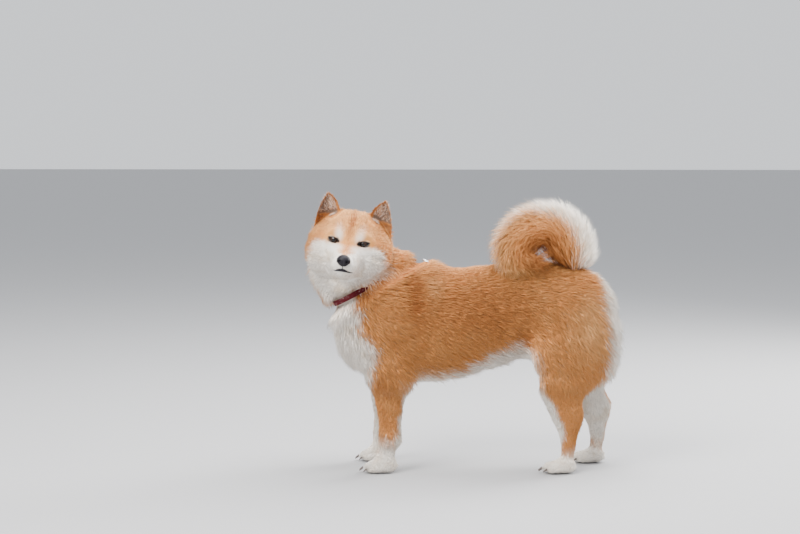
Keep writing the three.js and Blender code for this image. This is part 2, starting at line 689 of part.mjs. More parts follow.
// The ruff: rows of locks above the collar that hang toward it
function ruffLocks() {
  const draw = draws(23);
  const locks = [];
  for (const [n, length, count] of [[40, 34, 13], [26, 24, 13]])
    for (let k = 0; k < count; k++) {
      const angle = (2 * Math.PI * (k + n / 28)) / count + draw(-0.08, 0.08);
      const way = collarAxes.u.clone().multiplyScalar(Math.cos(angle)).addScaledVector(collarAxes.v, Math.sin(angle));
      const from = collarPoint(0, 0, n);
      const reach = reachOf(neckSkin, from.toArray(), way.toArray(), 130);
      const place = from.addScaledVector(way, reach).toArray();
      const lie = collarAxes.n.clone().negate().addScaledVector(collarAxes.v, draw(-0.2, 0.2));
      locks.push(lockOn(bodyField, place, lie.toArray(), { length: length - 4, width: 30, thick: 7, sunk: 6, rise: 5, bend: draw(-5, 5) }));
    }
  return locks;
}

// The long coat behind the thighs
function breechLocks(side, x) {
  const draw = draws(side > 0 ? 7 : 11);
  const locks = [];
  for (const [z, from, count] of [[298, 40, 3], [270, 16, 4], [242, 20, 4], [214, 24, 4]])
    for (let k = 0; k < count; k++) {
      const turn = THREE.MathUtils.degToRad(from + 32 * k + draw(-4, 4));
      const way = [Math.sin(turn), side * Math.cos(turn), 0];
      const core = [x * 0.4 + 138, side * 44, z];
      const reach = reachOf(bodyField, core, way, 120);
      const place = core.map((c, i) => c + way[i] * reach);
      const lie = [0.3, draw(-0.12, 0.12), -1];
      locks.push(lockOn(bodyField, place, lie, { length: 38, width: 25, thick: 7, sunk: 6, rise: 5 + draw(-1, 1), bend: draw(-5, 5) }));
    }
  return locks;
}

// The fringe along the belly
function bellyLocks() {
  const draw = draws(5);
  const locks = [];
  for (const y of [-52, -26, 0, 26, 52])
    for (const x of [-58, -28, 2, 32, 62]) {
      const place = [x + draw(-6, 6) + Math.abs(y) * 0.1, y, 120];
      locks.push(lockOn(bodyField, place, [0.8, draw(-0.1, 0.1), -0.3], { length: 34, width: 26, thick: 6, sunk: 5, rise: 3.5, bend: draw(-5, 5) }));
    }
  return locks;
}

// Trunk, parted from the neck at the collar's lower edge
const NECK_FOOT = -20;
const collarFoot = (shift) => beyond(collarPoint(0, 0, NECK_FOOT + shift).toArray(), collarAxes.n.toArray());
const neckLine = new THREE.LineCurve3(collarPoint(0, 0, NECK_FOOT - 6), collarPoint(0, 0, 46));
let neck = solidOf(castShell(neckSkin, neckLine, collarAxes.u, 24, 10, 3, 130))
  .intersect(collarFoot(GAP / 2))
  .subtract(collarSlot);
neck = joined(neck, ruffLocks()).subtract(headGrown);
let torso = joined(bodySolid, bellyLocks()).subtract(collarFoot(-GAP / 2));


for (const [name, side] of Object.entries(SIDES)) {
  const shoulder = bodySolid
    .subtract(collarFoot(-GAP / 2))
    .intersect(sidePrism(shoulderOutline, side, LEG_INNER))
    .intersect(above(ELBOW_CUT + GAP / 2));
  add(`shoulder_${name}`, shoulder, red);
  const outline = thighOutline(HIND_X[name]);
  const thigh = joined(bodySolid, breechLocks(side, HIND_X[name])).intersect(sidePrism(outline, side, LEG_INNER));
  add(`thigh_${name}`, thigh.intersect(above(STIFLE_CUT + GAP / 2)), red);
  torso = torso.subtract(sidePrism(shoulderOutline, side, LEG_INNER, GAP)).subtract(sidePrism(outline, side, LEG_INNER, GAP));
}
add("torso", torso, red);
add("neck", neck, red);
add("collar", bandRing(-COLLAR.thick, 0.4, COLLAR.wide / 2), webbing);

// The collar's steel ring and its keeper lie on the nape, behind the band
const nape = new THREE.Vector3(0, 0, 1).projectOnPlane(collarAxes.n).normalize();
const napeSpot = (n) => collarPoint(0, 0, n).addScaledVector(nape, reachOf(neckSkin, collarPoint(0, 0, n).toArray(), nape.toArray(), 130));
const napeSide = new THREE.Vector3().crossVectors(nape, collarAxes.n).normalize();
function napeFrame(from, to, share, lift) {
  const along = napeSpot(to).sub(napeSpot(from)).normalize();
  const out = new THREE.Vector3().crossVectors(along, napeSide).normalize();
  const place = napeSpot(from).lerp(napeSpot(to), share).addScaledVector(out, lift);
  return new THREE.Matrix4().makeBasis(along, napeSide, out).setPosition(place);
}
add("collar_keeper", solidOf(new THREE.BoxGeometry(COLLAR.wide + 4, 11, 1.6), napeFrame(-4.5, 4.5, 0.5, 2.4)), webbing);
const ringShape = new THREE.TorusGeometry(RING.radius, RING.wire, 6, 14);
let ringLift = RING.wire;
const ringSunk = () => {
  const placed = ringShape.clone().applyMatrix4(napeFrame(-31, -9, 0.5, ringLift)).getAttribute("position");
  return [...Array(placed.count).keys()].some((i) => bodyField([placed.getX(i), placed.getY(i), placed.getZ(i)]) < 0.02);
};
while (ringSunk() && ringLift < 14) ringLift += 0.5;
add("collar_ring", solidOf(ringShape, napeFrame(-31, -9, 0.5, ringLift)), steel);

// Lower legs
for (const [name, side] of Object.entries(SIDES)) {
  const leg = forelegs[name];
  const whole = blend(20, legField(leg), leg.pastern);
  const axis = lineOf([leg.x, leg.y, ELBOW_CUT + 14], [leg.x + 1, leg.y, 110], [leg.x + 2, leg.y, WRIST_CUT - 6]);
  const forearm = solidOf(castShell(whole, axis, new THREE.Vector3(-1, 0, 0), 12, 9, 1, 70))
    .intersect(below(ELBOW_CUT - GAP / 2))
    .intersect(above(WRIST_CUT + GAP / 2))
    .intersect(sidePrism(shoulderOutline, side, LEG_INNER));
  add(`forearm_${name}`, forearm, red);
  const hind = hindlegs[name];
  const x = hind.x;
  const hindAxis = lineOf([x - 24, hind.y, STIFLE_CUT + 12], [x - 2, hind.y, 122], [x + 5, hind.y, 92], [x + 4, hind.y, ANKLE_CUT - 6]);
  const shank = solidOf(castShell(hindField(hind), hindAxis, new THREE.Vector3(-1, 0, 0.2), 12, 11, 1, 90))
    .intersect(below(STIFLE_CUT - GAP / 2))
    .intersect(above(ANKLE_CUT + GAP / 2))
    .intersect(sidePrism(thighOutline(x), side, LEG_INNER));
  add(`shank_${name}`, shank, red);
}

// Paws: a pad with four toes and their claws, flat below
const TOES = [-1.5, -0.5, 0.5, 1.5];
const toePlace = (x, y, reach, k) => [x - reach + (Math.abs(k) > 1 ? 14 : 6), y + k * 11.6, Math.abs(k) > 1 ? 10 : 11];
function pawField(x, y, reach, top) {
  const toes = TOES.map((k) => egg(toePlace(x, y, reach, k), [15, 7.2, 11.5], [0, 0, -k * 0.07]));
  return blend(5, blend(14, egg([x - reach + 32, y, 14], [27, 21, 15]), top), ...toes);
}
function clawShell(x, y, reach, k) {
  const [tx, ty] = toePlace(x, y, reach, k);
  const path = lineOf([tx - 6, ty, 11.5], [tx - 14, ty - k * 0.5, 10], [tx - 20.5, ty - k, 5]);
  return solidOf(closedTube(path, 3, 5, (t) => 2.6 - 1.7 * t));
}
function addPaw(name, x, y, reach, top, cut, axis) {
  const shell = (grow) => solidOf(castShell(grown(pawField(x, y, reach, top), grow), axis, headUp, 16, 4, 3, 90));
  add(name, shell(0).intersect(below(cut - GAP / 2)).intersect(above(0)), cream);
  TOES.forEach((k, i) => claws.push([`claw_${name}_${i + 1}`, clawShell(x, y, reach, k).subtract(shell(GAP))]));
}
for (const name of Object.keys(SIDES)) {
  const fore = forelegs[name];
  addPaw(`forepaw_${name}`, fore.x + 6, fore.y, 46, blend(12, fore.pastern, fore.forearm), WRIST_CUT, lineOf([fore.x - 4, fore.y, 22], [fore.x - 30, fore.y, 13]));
  const hind = hindlegs[name];
  addPaw(`hindpaw_${name}`, hind.x + 8, hind.y, 44, hind.hock, ANKLE_CUT, lineOf([hind.x + 2, hind.y, 20], [hind.x - 24, hind.y, 13]));
}
for (const [name, solid] of claws) add(name, solid, horn);

// Tail: curled forward over the back, its tip resting on the left of the spine
const TAIL_PATH = [[206, 0, 346], [209, 0, 388], [202, -2, 424], [180, -5, 449], [148, -9, 456], [115, -14, 446], [93, -21, 420], [94, -28, 392], [110, -33, 376]];
const tailCurve = lineOf(...TAIL_PATH);
const tailShape = (t) => Math.sqrt(Math.min(1, (1 - t) / 0.13)) * THREE.MathUtils.lerp(1.22, 1, Math.min(1, t / 0.4));
// The surface at a share of the tail's length and a turn round it, with the curl's outer side at no turn
function tailSpot(t, turn) {
  const along = tailCurve.getTangentAt(t);
  const outward = new THREE.Vector3().crossVectors(new THREE.Vector3(0, 1, 0), along).normalize();
  const aside = new THREE.Vector3().crossVectors(along, outward).normalize();
  const away = outward.multiplyScalar(Math.cos(turn)).addScaledVector(aside, Math.sin(turn));
  const radius = (TAIL_RADIUS + TAIL_INSIDE * Math.max(0, -Math.cos(turn))) * tailShape(t);
  return { along, away, radius, foot: tailCurve.getPointAt(t).addScaledVector(away, radius) };
}
function tailShell() {
  const sides = 12;
  const rings = 16;
  const points = [...tailCurve.getPointAt(0).toArray()];
  for (let i = 0; i < rings; i++)
    for (let j = 0; j < sides; j++) points.push(...tailSpot(0.01 + (0.975 * i) / (rings - 1), (2 * Math.PI * j) / sides).foot.toArray());
  points.push(...tailCurve.getPointAt(1).toArray());
  return solidOf(geometryOf(points, tubeIndex(sides, rings)));
}
// The tail's brush: rows of locks over its outer side and flanks that follow the curl
function tailLocks() {
  const draw = draws(41);
  const whole = tailCurve.getLength();
  const locks = [];
  const rows = 9;
  const count = 6;
  for (let row = 0; row < rows; row++)
    for (let k = 0; k < count; k++) {
      const start = 0.08 + (0.79 * row) / (rows - 1) + draw(-0.012, 0.012);
      const turn = (k - (count - 1) / 2 + (row % 2 ? 0.25 : -0.25)) * 0.62 + draw(-0.08, 0.08);
      const outer = Math.max(0, Math.cos(turn));
      // the outer side is longer than the middle line that the shares are measured on
      const bow = tailCurve.getTangentAt(Math.min(1, start + 0.05)).sub(tailCurve.getTangentAt(start)).length() / (0.05 * whole);
      const length = THREE.MathUtils.lerp(36, 46, outer) / (1 + bow * TAIL_RADIUS * outer);
      const frame = (t) => {
        const way = THREE.MathUtils.clamp(start + (t * length) / whole, 0.001, 0.985);
        const { along, away, foot } = tailSpot(way, turn);
        foot.addScaledVector(along, start * whole + t * length - way * whole);
        return { foot, away };
      };
      const rise = THREE.MathUtils.lerp(4, 8, outer) + draw(-1, 1);
      locks.push(lockShell({ frame, width: 26, thick: 9, sunk: 8, rise, bend: draw(-6, 6) }));
    }
  return locks;
}
// Three lengths, parted square to the curl
const tailWhole = joined(tailShell(), tailLocks()).subtract(bodyGrown);
const TAIL_CUTS = [0.4, 0.7];
const tailPast = (t, shift) => {
  const way = tailCurve.getTangentAt(t);
  return beyond(tailCurve.getPointAt(t).addScaledVector(way, shift).toArray(), way.toArray());
};
add("tail_root", tailWhole.subtract(tailPast(TAIL_CUTS[0], -GAP / 2)), red);
const rest = tailWhole.intersect(tailPast(TAIL_CUTS[0], GAP / 2));
add("tail_middle", rest.subtract(tailPast(TAIL_CUTS[1], -GAP / 2)), red);
add("tail_tip", rest.intersect(tailPast(TAIL_CUTS[1], GAP / 2)), red);

// The middle of the footprint's box on the floor is the origin.
const box = new THREE.Box3().setFromObject(dog);
const middle = box.getCenter(new THREE.Vector3());
for (const mesh of dog.children) {
  mesh.geometry.translate(-middle.x, -middle.y, -box.min.z);
  for (let round = 0; round < 3; round++) mesh.geometry = filledOf(solidOf(mesh.geometry));
}

export default dog;
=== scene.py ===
"""A life-size shiba inu, standing with its head turned toward the viewer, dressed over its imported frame.

The flesh is one skin, made from copies of the frame's nodes and drawn in by the depth of the coat.
The coat is solid tufts that grow from that skin along its lie. Lengths here are in metres, but the
landmarks of the body and head are in millimetres, in the body's and the head's own axes.
"""

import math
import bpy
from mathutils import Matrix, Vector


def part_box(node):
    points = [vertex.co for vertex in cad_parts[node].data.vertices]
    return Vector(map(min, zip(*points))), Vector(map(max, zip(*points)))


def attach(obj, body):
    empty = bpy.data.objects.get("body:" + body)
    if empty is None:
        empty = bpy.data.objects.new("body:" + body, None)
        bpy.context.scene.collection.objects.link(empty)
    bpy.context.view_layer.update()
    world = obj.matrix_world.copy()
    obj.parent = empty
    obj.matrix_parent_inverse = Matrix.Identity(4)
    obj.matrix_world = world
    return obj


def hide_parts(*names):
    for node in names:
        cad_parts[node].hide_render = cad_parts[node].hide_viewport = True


bl_info = {
    "name": "Shiba Inu",
    "version": (1, 0, 0),
    "blender": (4, 5, 0),
    "location": "View3D > Sidebar > Shiba Inu",
    "description": "A still, life-size dog with a coat of solid tufts",
    "category": "Object",
}

import bmesh
import bpy
import numpy as np
from bpy.props import FloatProperty, FloatVectorProperty, IntProperty, PointerProperty
from mathutils import Euler, Matrix, Vector
from mathutils.bvhtree import BVHTree
from mathutils.kdtree import KDTree

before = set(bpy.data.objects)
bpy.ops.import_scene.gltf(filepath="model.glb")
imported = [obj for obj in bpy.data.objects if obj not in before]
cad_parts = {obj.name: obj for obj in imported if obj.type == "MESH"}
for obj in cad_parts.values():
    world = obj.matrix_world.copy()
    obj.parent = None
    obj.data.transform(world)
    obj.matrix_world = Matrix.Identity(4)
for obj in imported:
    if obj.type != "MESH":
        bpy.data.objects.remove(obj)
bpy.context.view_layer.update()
MM = 0.001
FLOOR_GAP = 0.0006
SIDES = {"left": 1, "right": -1}

# Landmarks of the head in its own axes: x to the dog's left, -y toward the nose, z up
HEAD_TURN = Euler((0.04, 0.152, -0.03), "XYZ").to_matrix()
HEAD_PLACE = np.array([-202.7, -92.0, 424.5])
EYE_RADIUS = 11.5
EYE_PLACE = np.array([26.5, 12.0, 0.0])
GAZE = Euler((0.05, 0.0, -0.05)).to_matrix()
NOSE_TIP = np.array([0.0, -56.0, -29.0])
NOSE_MIDDLE = np.array([0.0, -49.0, -28.0])
NOSE_RADII = np.array([14.0, 12.5, 12.5])
NOSTRIL = np.array([6.8, -58.5, -28.5])
EAR_TIP = np.array([53.0, 47.0, 81.0])
EAR_OUTER = np.array([71.0, 56.0, 17.0])
EAR_INNER = np.array([27.0, 54.0, 50.0])
EAR_BASE = (EAR_OUTER + EAR_INNER) / 2
EAR_LINE = EAR_TIP - EAR_BASE
RUFF_MIDDLE = np.array([7.0, 58.0, -38.0])
RUFF_RADII = np.array([80.0, 38.0, 70.0])
# The mouth's line from its left corner to its middle, and the groove from the nose down to it
MOUTH = np.array([(21.0, -32.0, -49.5), (15.0, -47.0, -48.2), (8.0, -58.0, -47.3), (0.0, -64.0, -46.8)])
PHILTRUM = np.array([(0.0, -66.0, -35.0), (0.0, -66.0, -39.0), (0.0, -66.0, -43.0), (0.0, -64.0, -46.0)])
# The opening between the lids, seen from in front, from its inner corner over the top
LID_KNOTS = np.array([
    (-11.2, -3.4), (-7.0, 1.2), (-2.6, 4.0), (2.4, 4.7), (7.0, 4.0),
    (11.4, 3.4), (7.4, -1.8), (2.4, -4.9), (-3.2, -5.0), (-7.4, -4.0),
])
LID_SLANT = 0.05

# Landmarks of the body in its own axes: -x toward the chest, -y to the dog's left, z up from the floor
COLLAR_PLACE = np.array([-172.0, -4.0, 340.0])
COLLAR_LEAN = 0.5
COLLAR_U = np.array([math.cos(COLLAR_LEAN), 0.0, math.sin(COLLAR_LEAN)])
COLLAR_V = np.array([0.0, 1.0, 0.0])
COLLAR_N = np.array([-math.sin(COLLAR_LEAN), 0.0, math.cos(COLLAR_LEAN)])
FORE_Y = 60.0
HIND_Y = 55.0
HIND_STRIDE = 60.0
TAIL_PATH = [
    (206, 0, 346), (209, 0, 388), (202, -2, 424), (180, -5, 449), (148, -9, 456),
    (115, -14, 446), (93, -21, 420), (94, -28, 392), (110, -33, 376),
]
# The middle of the tail's curl, round which the coat is darkened as painted shade
TAIL_CURL = np.array([150.0, -25.0, 395.0])

# The collar, in metres: how deep it lies in the hair where it is hidden, and the band's thickness
BAND_SINK = 0.0075
BAND_THICKNESS = 0.0022

# Edges of the pale markings. The first four give how far back the edge is at a height, the belly's gives
# a height at a place along the body, and the cheek's a height at a distance from the head's middle.
CHEST_EDGE = ((150, -172), (176, -170), (213, -164), (241, -160), (278, -190), (305, -186), (330, -196))
RUMP_EDGE = ((120, 270), (160, 262), (204, 250), (260, 252), (300, 248), (351, 246), (385, 238))
FORE_EDGE = ((40, -118), (60, -122), (150, -104), (185, -96))
HIND_EDGE = ((60, 186), (103, 184), (153, 158), (204, 134), (226, 112))
BELLY_EDGE = ((-150, 165), (-85, 182), (-6, 200), (54, 240), (90, 252), (120, 240), (150, 226))
CHEEK_EDGE = ((0, -30), (12, -22), (20, -9), (30, -7), (46, -7), (62, -14), (75, -34))

# The coat's depth: on the trunk and neck, on the legs by height, and on the head by how far back it is
TRUNK_DEPTH = 7.5
NECK_DEPTH = 9.5
LEG_DEPTH = ((0, 2.0), (26, 2.2), (60, 2.8), (110, 3.2), (150, 4.0), (200, 6.5))
FACE_DEPTH = ((-60, 1.4), (-10, 2.2), (10, 2.8), (40, 5.0), (70, 7.5), (110, 9.5))
EYE_DEPTH = 0.7
NOSE_DEPTH = 0.8
EAR_DEPTH = 0.8
LEAST_DEPTH = 0.6

FLESH = ["head", "neck", "torso", "ear_left", "ear_right", "tail_root", "tail_middle", "tail_tip"]
for part in ("shoulder", "thigh", "forearm", "shank", "forepaw", "hindpaw"):
    FLESH += [f"{part}_{side}" for side in SIDES]


def box_middle(node):
    low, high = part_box(node)
    return np.array((low + high) / 2)


# The head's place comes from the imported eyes, and the body's from the head.
HEAD_AXES = np.array(HEAD_TURN)
EYES_MIDDLE = (box_middle("eye_left") + box_middle("eye_right")) / 2
HEAD_ORIGIN = EYES_MIDDLE - HEAD_AXES @ (EYE_PLACE * [0, 1, 1]) * MM
OFFSET = HEAD_ORIGIN - HEAD_PLACE * MM


def body_axes(place):
    """Frame places in metres as body places in millimetres."""
    return (np.asarray(place) - OFFSET) / MM


def head_axes(place):
    """Frame places in metres as head places in millimetres."""
    return ((np.asarray(place) - HEAD_ORIGIN) / MM) @ HEAD_AXES


def from_head(place):
    return HEAD_ORIGIN + (np.asarray(place, float) @ HEAD_AXES.T) * MM


def from_body(place):
    return OFFSET + np.asarray(place, float) * MM


def step(low, high, value):
    """Goes smoothly from 0 at low to 1 at high."""
    t = np.clip((value - low) / (high - low), 0, 1)
    return t * t * (3 - 2 * t)


def near(distance, reach):
    """1 close by, falling smoothly to 0 at the reach."""
    return 1 - step(0, reach, distance)


def spot(across, up, middle, radii, reach):
    """A soft oval, 1 at its middle and 0 at the reach, which counts in its radii."""
    return near(np.hypot((across - middle[0]) / radii[0], (up - middle[1]) / radii[1]), reach)


def mixed(base, other, share):
    """The base where the share is 0, the other where it is 1."""
    return base * (1 - share) + share * other


def read_pairs(pairs, value):
    """The second number of each pair, read between them at values of the first."""
    firsts, seconds = zip(*pairs)
    return np.interp(value, firsts, seconds)


def read_rows(wanted, times, rows):
    """Rows of places or ways, read between their times."""
    return np.stack([np.interp(wanted, times, column) for column in rows.T], 1)


def run_length(points):
    """How far along a line each of its points lies."""
    return np.concatenate([[0], np.cumsum(np.linalg.norm(np.diff(points, axis=0), axis=1))])


def unit(vectors):
    return vectors / np.maximum(np.linalg.norm(vectors, axis=-1, keepdims=True), 1e-9)


def along_skin(ways, normals):
    """The part of each way that lies flat on the skin."""
    return ways - normals * np.sum(ways * normals, 1, keepdims=True)


def tree_of(points):
    tree = KDTree(len(points))
    for i, point in enumerate(points):
        tree.insert(point, i)
    tree.balance()
    return tree


def ripple(place, scale, seed=0):
    """A soft, random-looking wave over space, from -1 to 1, for broad unevenness."""
    rng = np.random.default_rng(1000 + seed)
    total = np.zeros(len(place))
    for k in range(6):
        way = unit(rng.normal(size=3)) * (1 + 0.25 * k) / scale
        total += np.sin(place @ way * 2 * math.pi + rng.uniform(0, 6.28)) / 2.4
    return np.clip(total, -1, 1)


# Settings


class CoatSettings(bpy.types.PropertyGroup):
    red: FloatVectorProperty(
        name="Red", description="Colour of the red coat", subtype="COLOR", size=3, min=0, max=1,
        default=(0.63, 0.262, 0.072),
    )
    deep: FloatVectorProperty(
        name="Deep Red", description="Colour of its darker places", subtype="COLOR", size=3, min=0, max=1,
        default=(0.36, 0.112, 0.024),
    )
    light: FloatVectorProperty(
        name="Light Red", description="Colour of its lighter places", subtype="COLOR", size=3, min=0, max=1,
        default=(0.80, 0.445, 0.18),
    )
    cream: FloatVectorProperty(
        name="Cream", description="Colour of the pale coat", subtype="COLOR", size=3, min=0, max=1,
        default=(0.93, 0.87, 0.79),
    )
    thickness: FloatProperty(
        name="Tuft Width", description="Width of a tuft on the trunk", subtype="DISTANCE", unit="LENGTH",
        default=0.0013, min=0.0005, max=0.006,
    )
    fullness: FloatProperty(
        name="Fullness", description="Share of the full number of tufts", default=1.0, min=0.05, max=1.3,
        subtype="FACTOR",
    )
    seed: IntProperty(name="Seed", description="Start of the coat's random draws", default=7, min=0)


class FaceSettings(bpy.types.PropertyGroup):
    iris: FloatVectorProperty(
        name="Iris", description="Colour of the iris", subtype="COLOR", size=3, min=0, max=1,
        default=(0.022, 0.010, 0.006),
    )
    leather: FloatVectorProperty(
        name="Nose Leather", description="Colour of the nose, lips and lid rims", subtype="COLOR", size=3,
        min=0, max=1, default=(0.008, 0.007, 0.009),
    )
    rim: FloatProperty(
        name="Lid Rim", description="Thickness of the dark rims round the eyes", subtype="DISTANCE",
        unit="LENGTH", default=0.0011, min=0.0004, max=0.003,
    )


class CollarSettings(bpy.types.PropertyGroup):
    webbing: FloatVectorProperty(
        name="Webbing", description="Colour of the band", subtype="COLOR", size=3, min=0, max=1,
        default=(0.085, 0.003, 0.007),
    )
    figure: FloatVectorProperty(
        name="Figure", description="Colour of the woven figures", subtype="COLOR", size=3, min=0, max=1,
        default=(0.75, 0.58, 0.55),
    )
    width: FloatProperty(
        name="Width", description="Width of the band", subtype="DISTANCE", unit="LENGTH",
        default=0.0095, min=0.004, max=0.03,
    )


class StageSettings(bpy.types.PropertyGroup):
    floor: FloatVectorProperty(
        name="Floor", description="Colour of the floor", subtype="COLOR", size=3, min=0, max=1,
        default=(0.40, 0.40, 0.41),
    )
    light: FloatProperty(
        name="Light", description="Power of the main light", unit="POWER", default=180.0, min=0.0,
    )


# Shader maths


class Value:
    """A shader socket that takes part in Python expressions."""

    def __init__(self, paint, socket):
        self.paint = paint
        self.socket = socket

    def _math(self, operation, *others):
        node = self.paint.node("ShaderNodeMath", {"operation": operation})
        for i, term in enumerate(others):
            self.paint.feed(node.inputs[i], term)
        return Value(self.paint, node.outputs[0])

    def __add__(self, other):
        return self._math("ADD", self, other)

    def __radd__(self, other):
        return self._math("ADD", other, self)

    def __sub__(self, other):
        return self._math("SUBTRACT", self, other)

    def __rsub__(self, other):
        return self._math("SUBTRACT", other, self)

    def __mul__(self, other):
        return self._math("MULTIPLY", self, other)

    def __rmul__(self, other):
        return self._math("MULTIPLY", other, self)

    def above(self, low, high):
        """0 below low, 1 above high, smooth between."""
        node = self.paint.node("ShaderNodeMapRange", {"interpolation_type": "SMOOTHSTEP"})
        for name, term in (("Value", self), ("From Min", low), ("From Max", high)):
            self.paint.feed(node.inputs[name], term)
        return Value(self.paint, node.outputs["Result"])


class Paint:
    """A material and the nodes that make it."""

    def __init__(self, name, **constants):
        self.material = bpy.data.materials.new(name)
        self.material.use_nodes = True
        self.tree = self.material.node_tree
        self.shader = self.tree.nodes["Principled BSDF"]
        for socket, value in constants.items():
            self.shader.inputs[socket.replace("_", " ")].default_value = value

    def node(self, kind, settings=(), **sockets):
        made = self.tree.nodes.new(kind)
        for key, value in dict(settings).items():
            setattr(made, key, value)
        for name, value in sockets.items():
            self.feed(made.inputs[name.replace("_", " ")], value)
        return made

    def feed(self, socket, value):
        if isinstance(value, Value):
            self.tree.links.new(value.socket, socket)
        elif isinstance(value, bpy.types.NodeSocket):
            self.tree.links.new(value, socket)
        elif socket.type == "RGBA":
            socket.default_value = (*value, 1.0) if len(value) == 3 else value
        else:
            socket.default_value = value

    def attribute(self, name):
        return Value(self, self.node("ShaderNodeAttribute", {"attribute_name": name}).outputs["Fac"])

    def noise(self, scale, detail=2.0, rough=0.5, stretch=(1, 1, 1)):
        place = self.node("ShaderNodeTexCoord").outputs["Object"]
        spread = self.node("ShaderNodeMapping", Vector=place, Scale=stretch)
        made = self.node(
            "ShaderNodeTexNoise", Vector=spread.outputs[0], Scale=scale, Detail=detail, Roughness=rough,
        )
        return Value(self, made.outputs["Fac"])

    def mix(self, low, high, factor):
        made = self.node("ShaderNodeMix", {"data_type": "RGBA", "clamp_factor": True})
        self.feed(made.inputs[0], factor)
        self.feed(made.inputs[6], low)
        self.feed(made.inputs[7], high)
        return made.outputs[2]

    def scale(self, colour, factor):
        made = self.node("ShaderNodeVectorMath", {"operation": "SCALE"})
        self.feed(made.inputs[0], colour)
        self.feed(made.inputs["Scale"], factor)
        return made.outputs[0]

    def bump(self, height, distance, strength=1.0):
        made = self.node("ShaderNodeBump", Height=height, Distance=distance, Strength=strength)
        self.feed(self.shader.inputs["Normal"], made.outputs[0])

    def colour(self, value):
        self.feed(self.shader.inputs["Base Color"], value)

    def roughness(self, value):
        self.feed(self.shader.inputs["Roughness"], value)


# Making objects


def alone(obj):
    """Leaves only this object selected and active."""
    bpy.ops.object.select_all(action="DESELECT")
    obj.select_set(True)
    bpy.context.view_layer.objects.active = obj


def join(target, part):
    """Joins a part into the target, which keeps its name."""
    alone(target)
    part.select_set(True)
    bpy.ops.object.join()


def smooth(obj):
    alone(obj)
    bpy.ops.object.shade_smooth()


def modified(obj, kind, **settings):
    """Adds a modifier and applies it."""
    alone(obj)
    modifier = obj.modifiers.new(kind.title(), kind)
    for key, value in settings.items():
        setattr(modifier, key, value)
    bpy.ops.object.modifier_apply(modifier=modifier.name)
    return obj


def places_of(obj):
    flat = np.empty(len(obj.data.vertices) * 3)
    obj.data.vertices.foreach_get("co", flat)
    return flat.reshape(-1, 3)


def move_to(obj, places):
    obj.data.vertices.foreach_set("co", np.ascontiguousarray(places, np.float64).ravel())
    obj.data.update()


def normals_of(obj):
    flat = np.empty(len(obj.data.vertices) * 3)
    obj.data.vertex_normals.foreach_get("vector", flat)
    return flat.reshape(-1, 3)


def triangles_of(obj):
    """The vertices and the loops of each triangle."""
    obj.data.calc_loop_triangles()
    triangles = obj.data.loop_triangles
    corners = []
    for key in ("vertices", "loops"):
        flat = np.empty(len(triangles) * 3, np.int64)
        triangles.foreach_get(key, flat)
        corners.append(flat.reshape(-1, 3))
    return corners


def linked(name, mesh):
    """A new object in the scene that holds a mesh."""
    obj = bpy.data.objects.new(name, mesh)
    bpy.context.scene.collection.objects.link(obj)
    return obj


def shell_object(name, shell):
    """An object from a bmesh, which is freed."""
    mesh = bpy.data.meshes.new(name)
    shell.to_mesh(mesh)
    shell.free()
    return linked(name, mesh)


def mesh_object(name, points, faces):
    """A smooth object from points and faces that all have the same number of corners."""
    faces = np.asarray(faces, np.int32)
    mesh = bpy.data.meshes.new(name)
    mesh.vertices.add(len(points))
    mesh.vertices.foreach_set("co", np.ascontiguousarray(points, np.float64).ravel())
    mesh.loops.add(faces.size)
    mesh.loops.foreach_set("vertex_index", faces.ravel())
    mesh.polygons.add(len(faces))
    mesh.polygons.foreach_set("loop_start", np.arange(0, faces.size, faces.shape[1], dtype=np.int32))
    mesh.update(calc_edges=True)
    mesh.polygons.foreach_set("use_smooth", np.full(len(faces), True))
    return linked(name, mesh)


def joined_copy(name, nodes):
    """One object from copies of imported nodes, with their loose triangles welded."""
    shell = bmesh.new()
    for node in nodes:
        shell.from_mesh(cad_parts[node].data)
    bmesh.ops.remove_doubles(shell, verts=shell.verts, dist=1e-7)
    return shell_object(name, shell)


def attribute(obj, name, values):
    made = obj.data.attributes.new(name, "FLOAT", "POINT")
    made.data.foreach_set("value", np.ascontiguousarray(values, np.float32))


def finish_piece(obj, material, replaced=()):
    """Gives a piece its material and slot, and hides the nodes that it stands for."""
    obj.data.materials.clear()
    obj.data.materials.append(material)
    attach(obj, "root")
    if replaced:
        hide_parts(*replaced)


def surface_tree(obj):
    triangles, _ = triangles_of(obj)
    return BVHTree.FromPolygons(places_of(obj).tolist(), triangles.tolist())


def close_shell(obj):
    """Fills any open ends and points the faces outwards."""
    shell = bmesh.new()
    shell.from_mesh(obj.data)
    bmesh.ops.holes_fill(shell, edges=[e for e in shell.edges if e.is_boundary])
    bmesh.ops.recalc_face_normals(shell, faces=shell.faces)
    for face in shell.faces:
        face.smooth = True
    shell.to_mesh(obj.data)
    shell.free()
    return obj


def ring_quads(rings, count):
    """Quads between rings of points, where the last ring closes back to the first."""
    index = np.arange(rings * count).reshape(rings, count)
    after = np.roll(index, -1, 0)
    return np.stack([index, after, np.roll(after, -1, 1), np.roll(index, -1, 1)], -1).reshape(-1, 4)


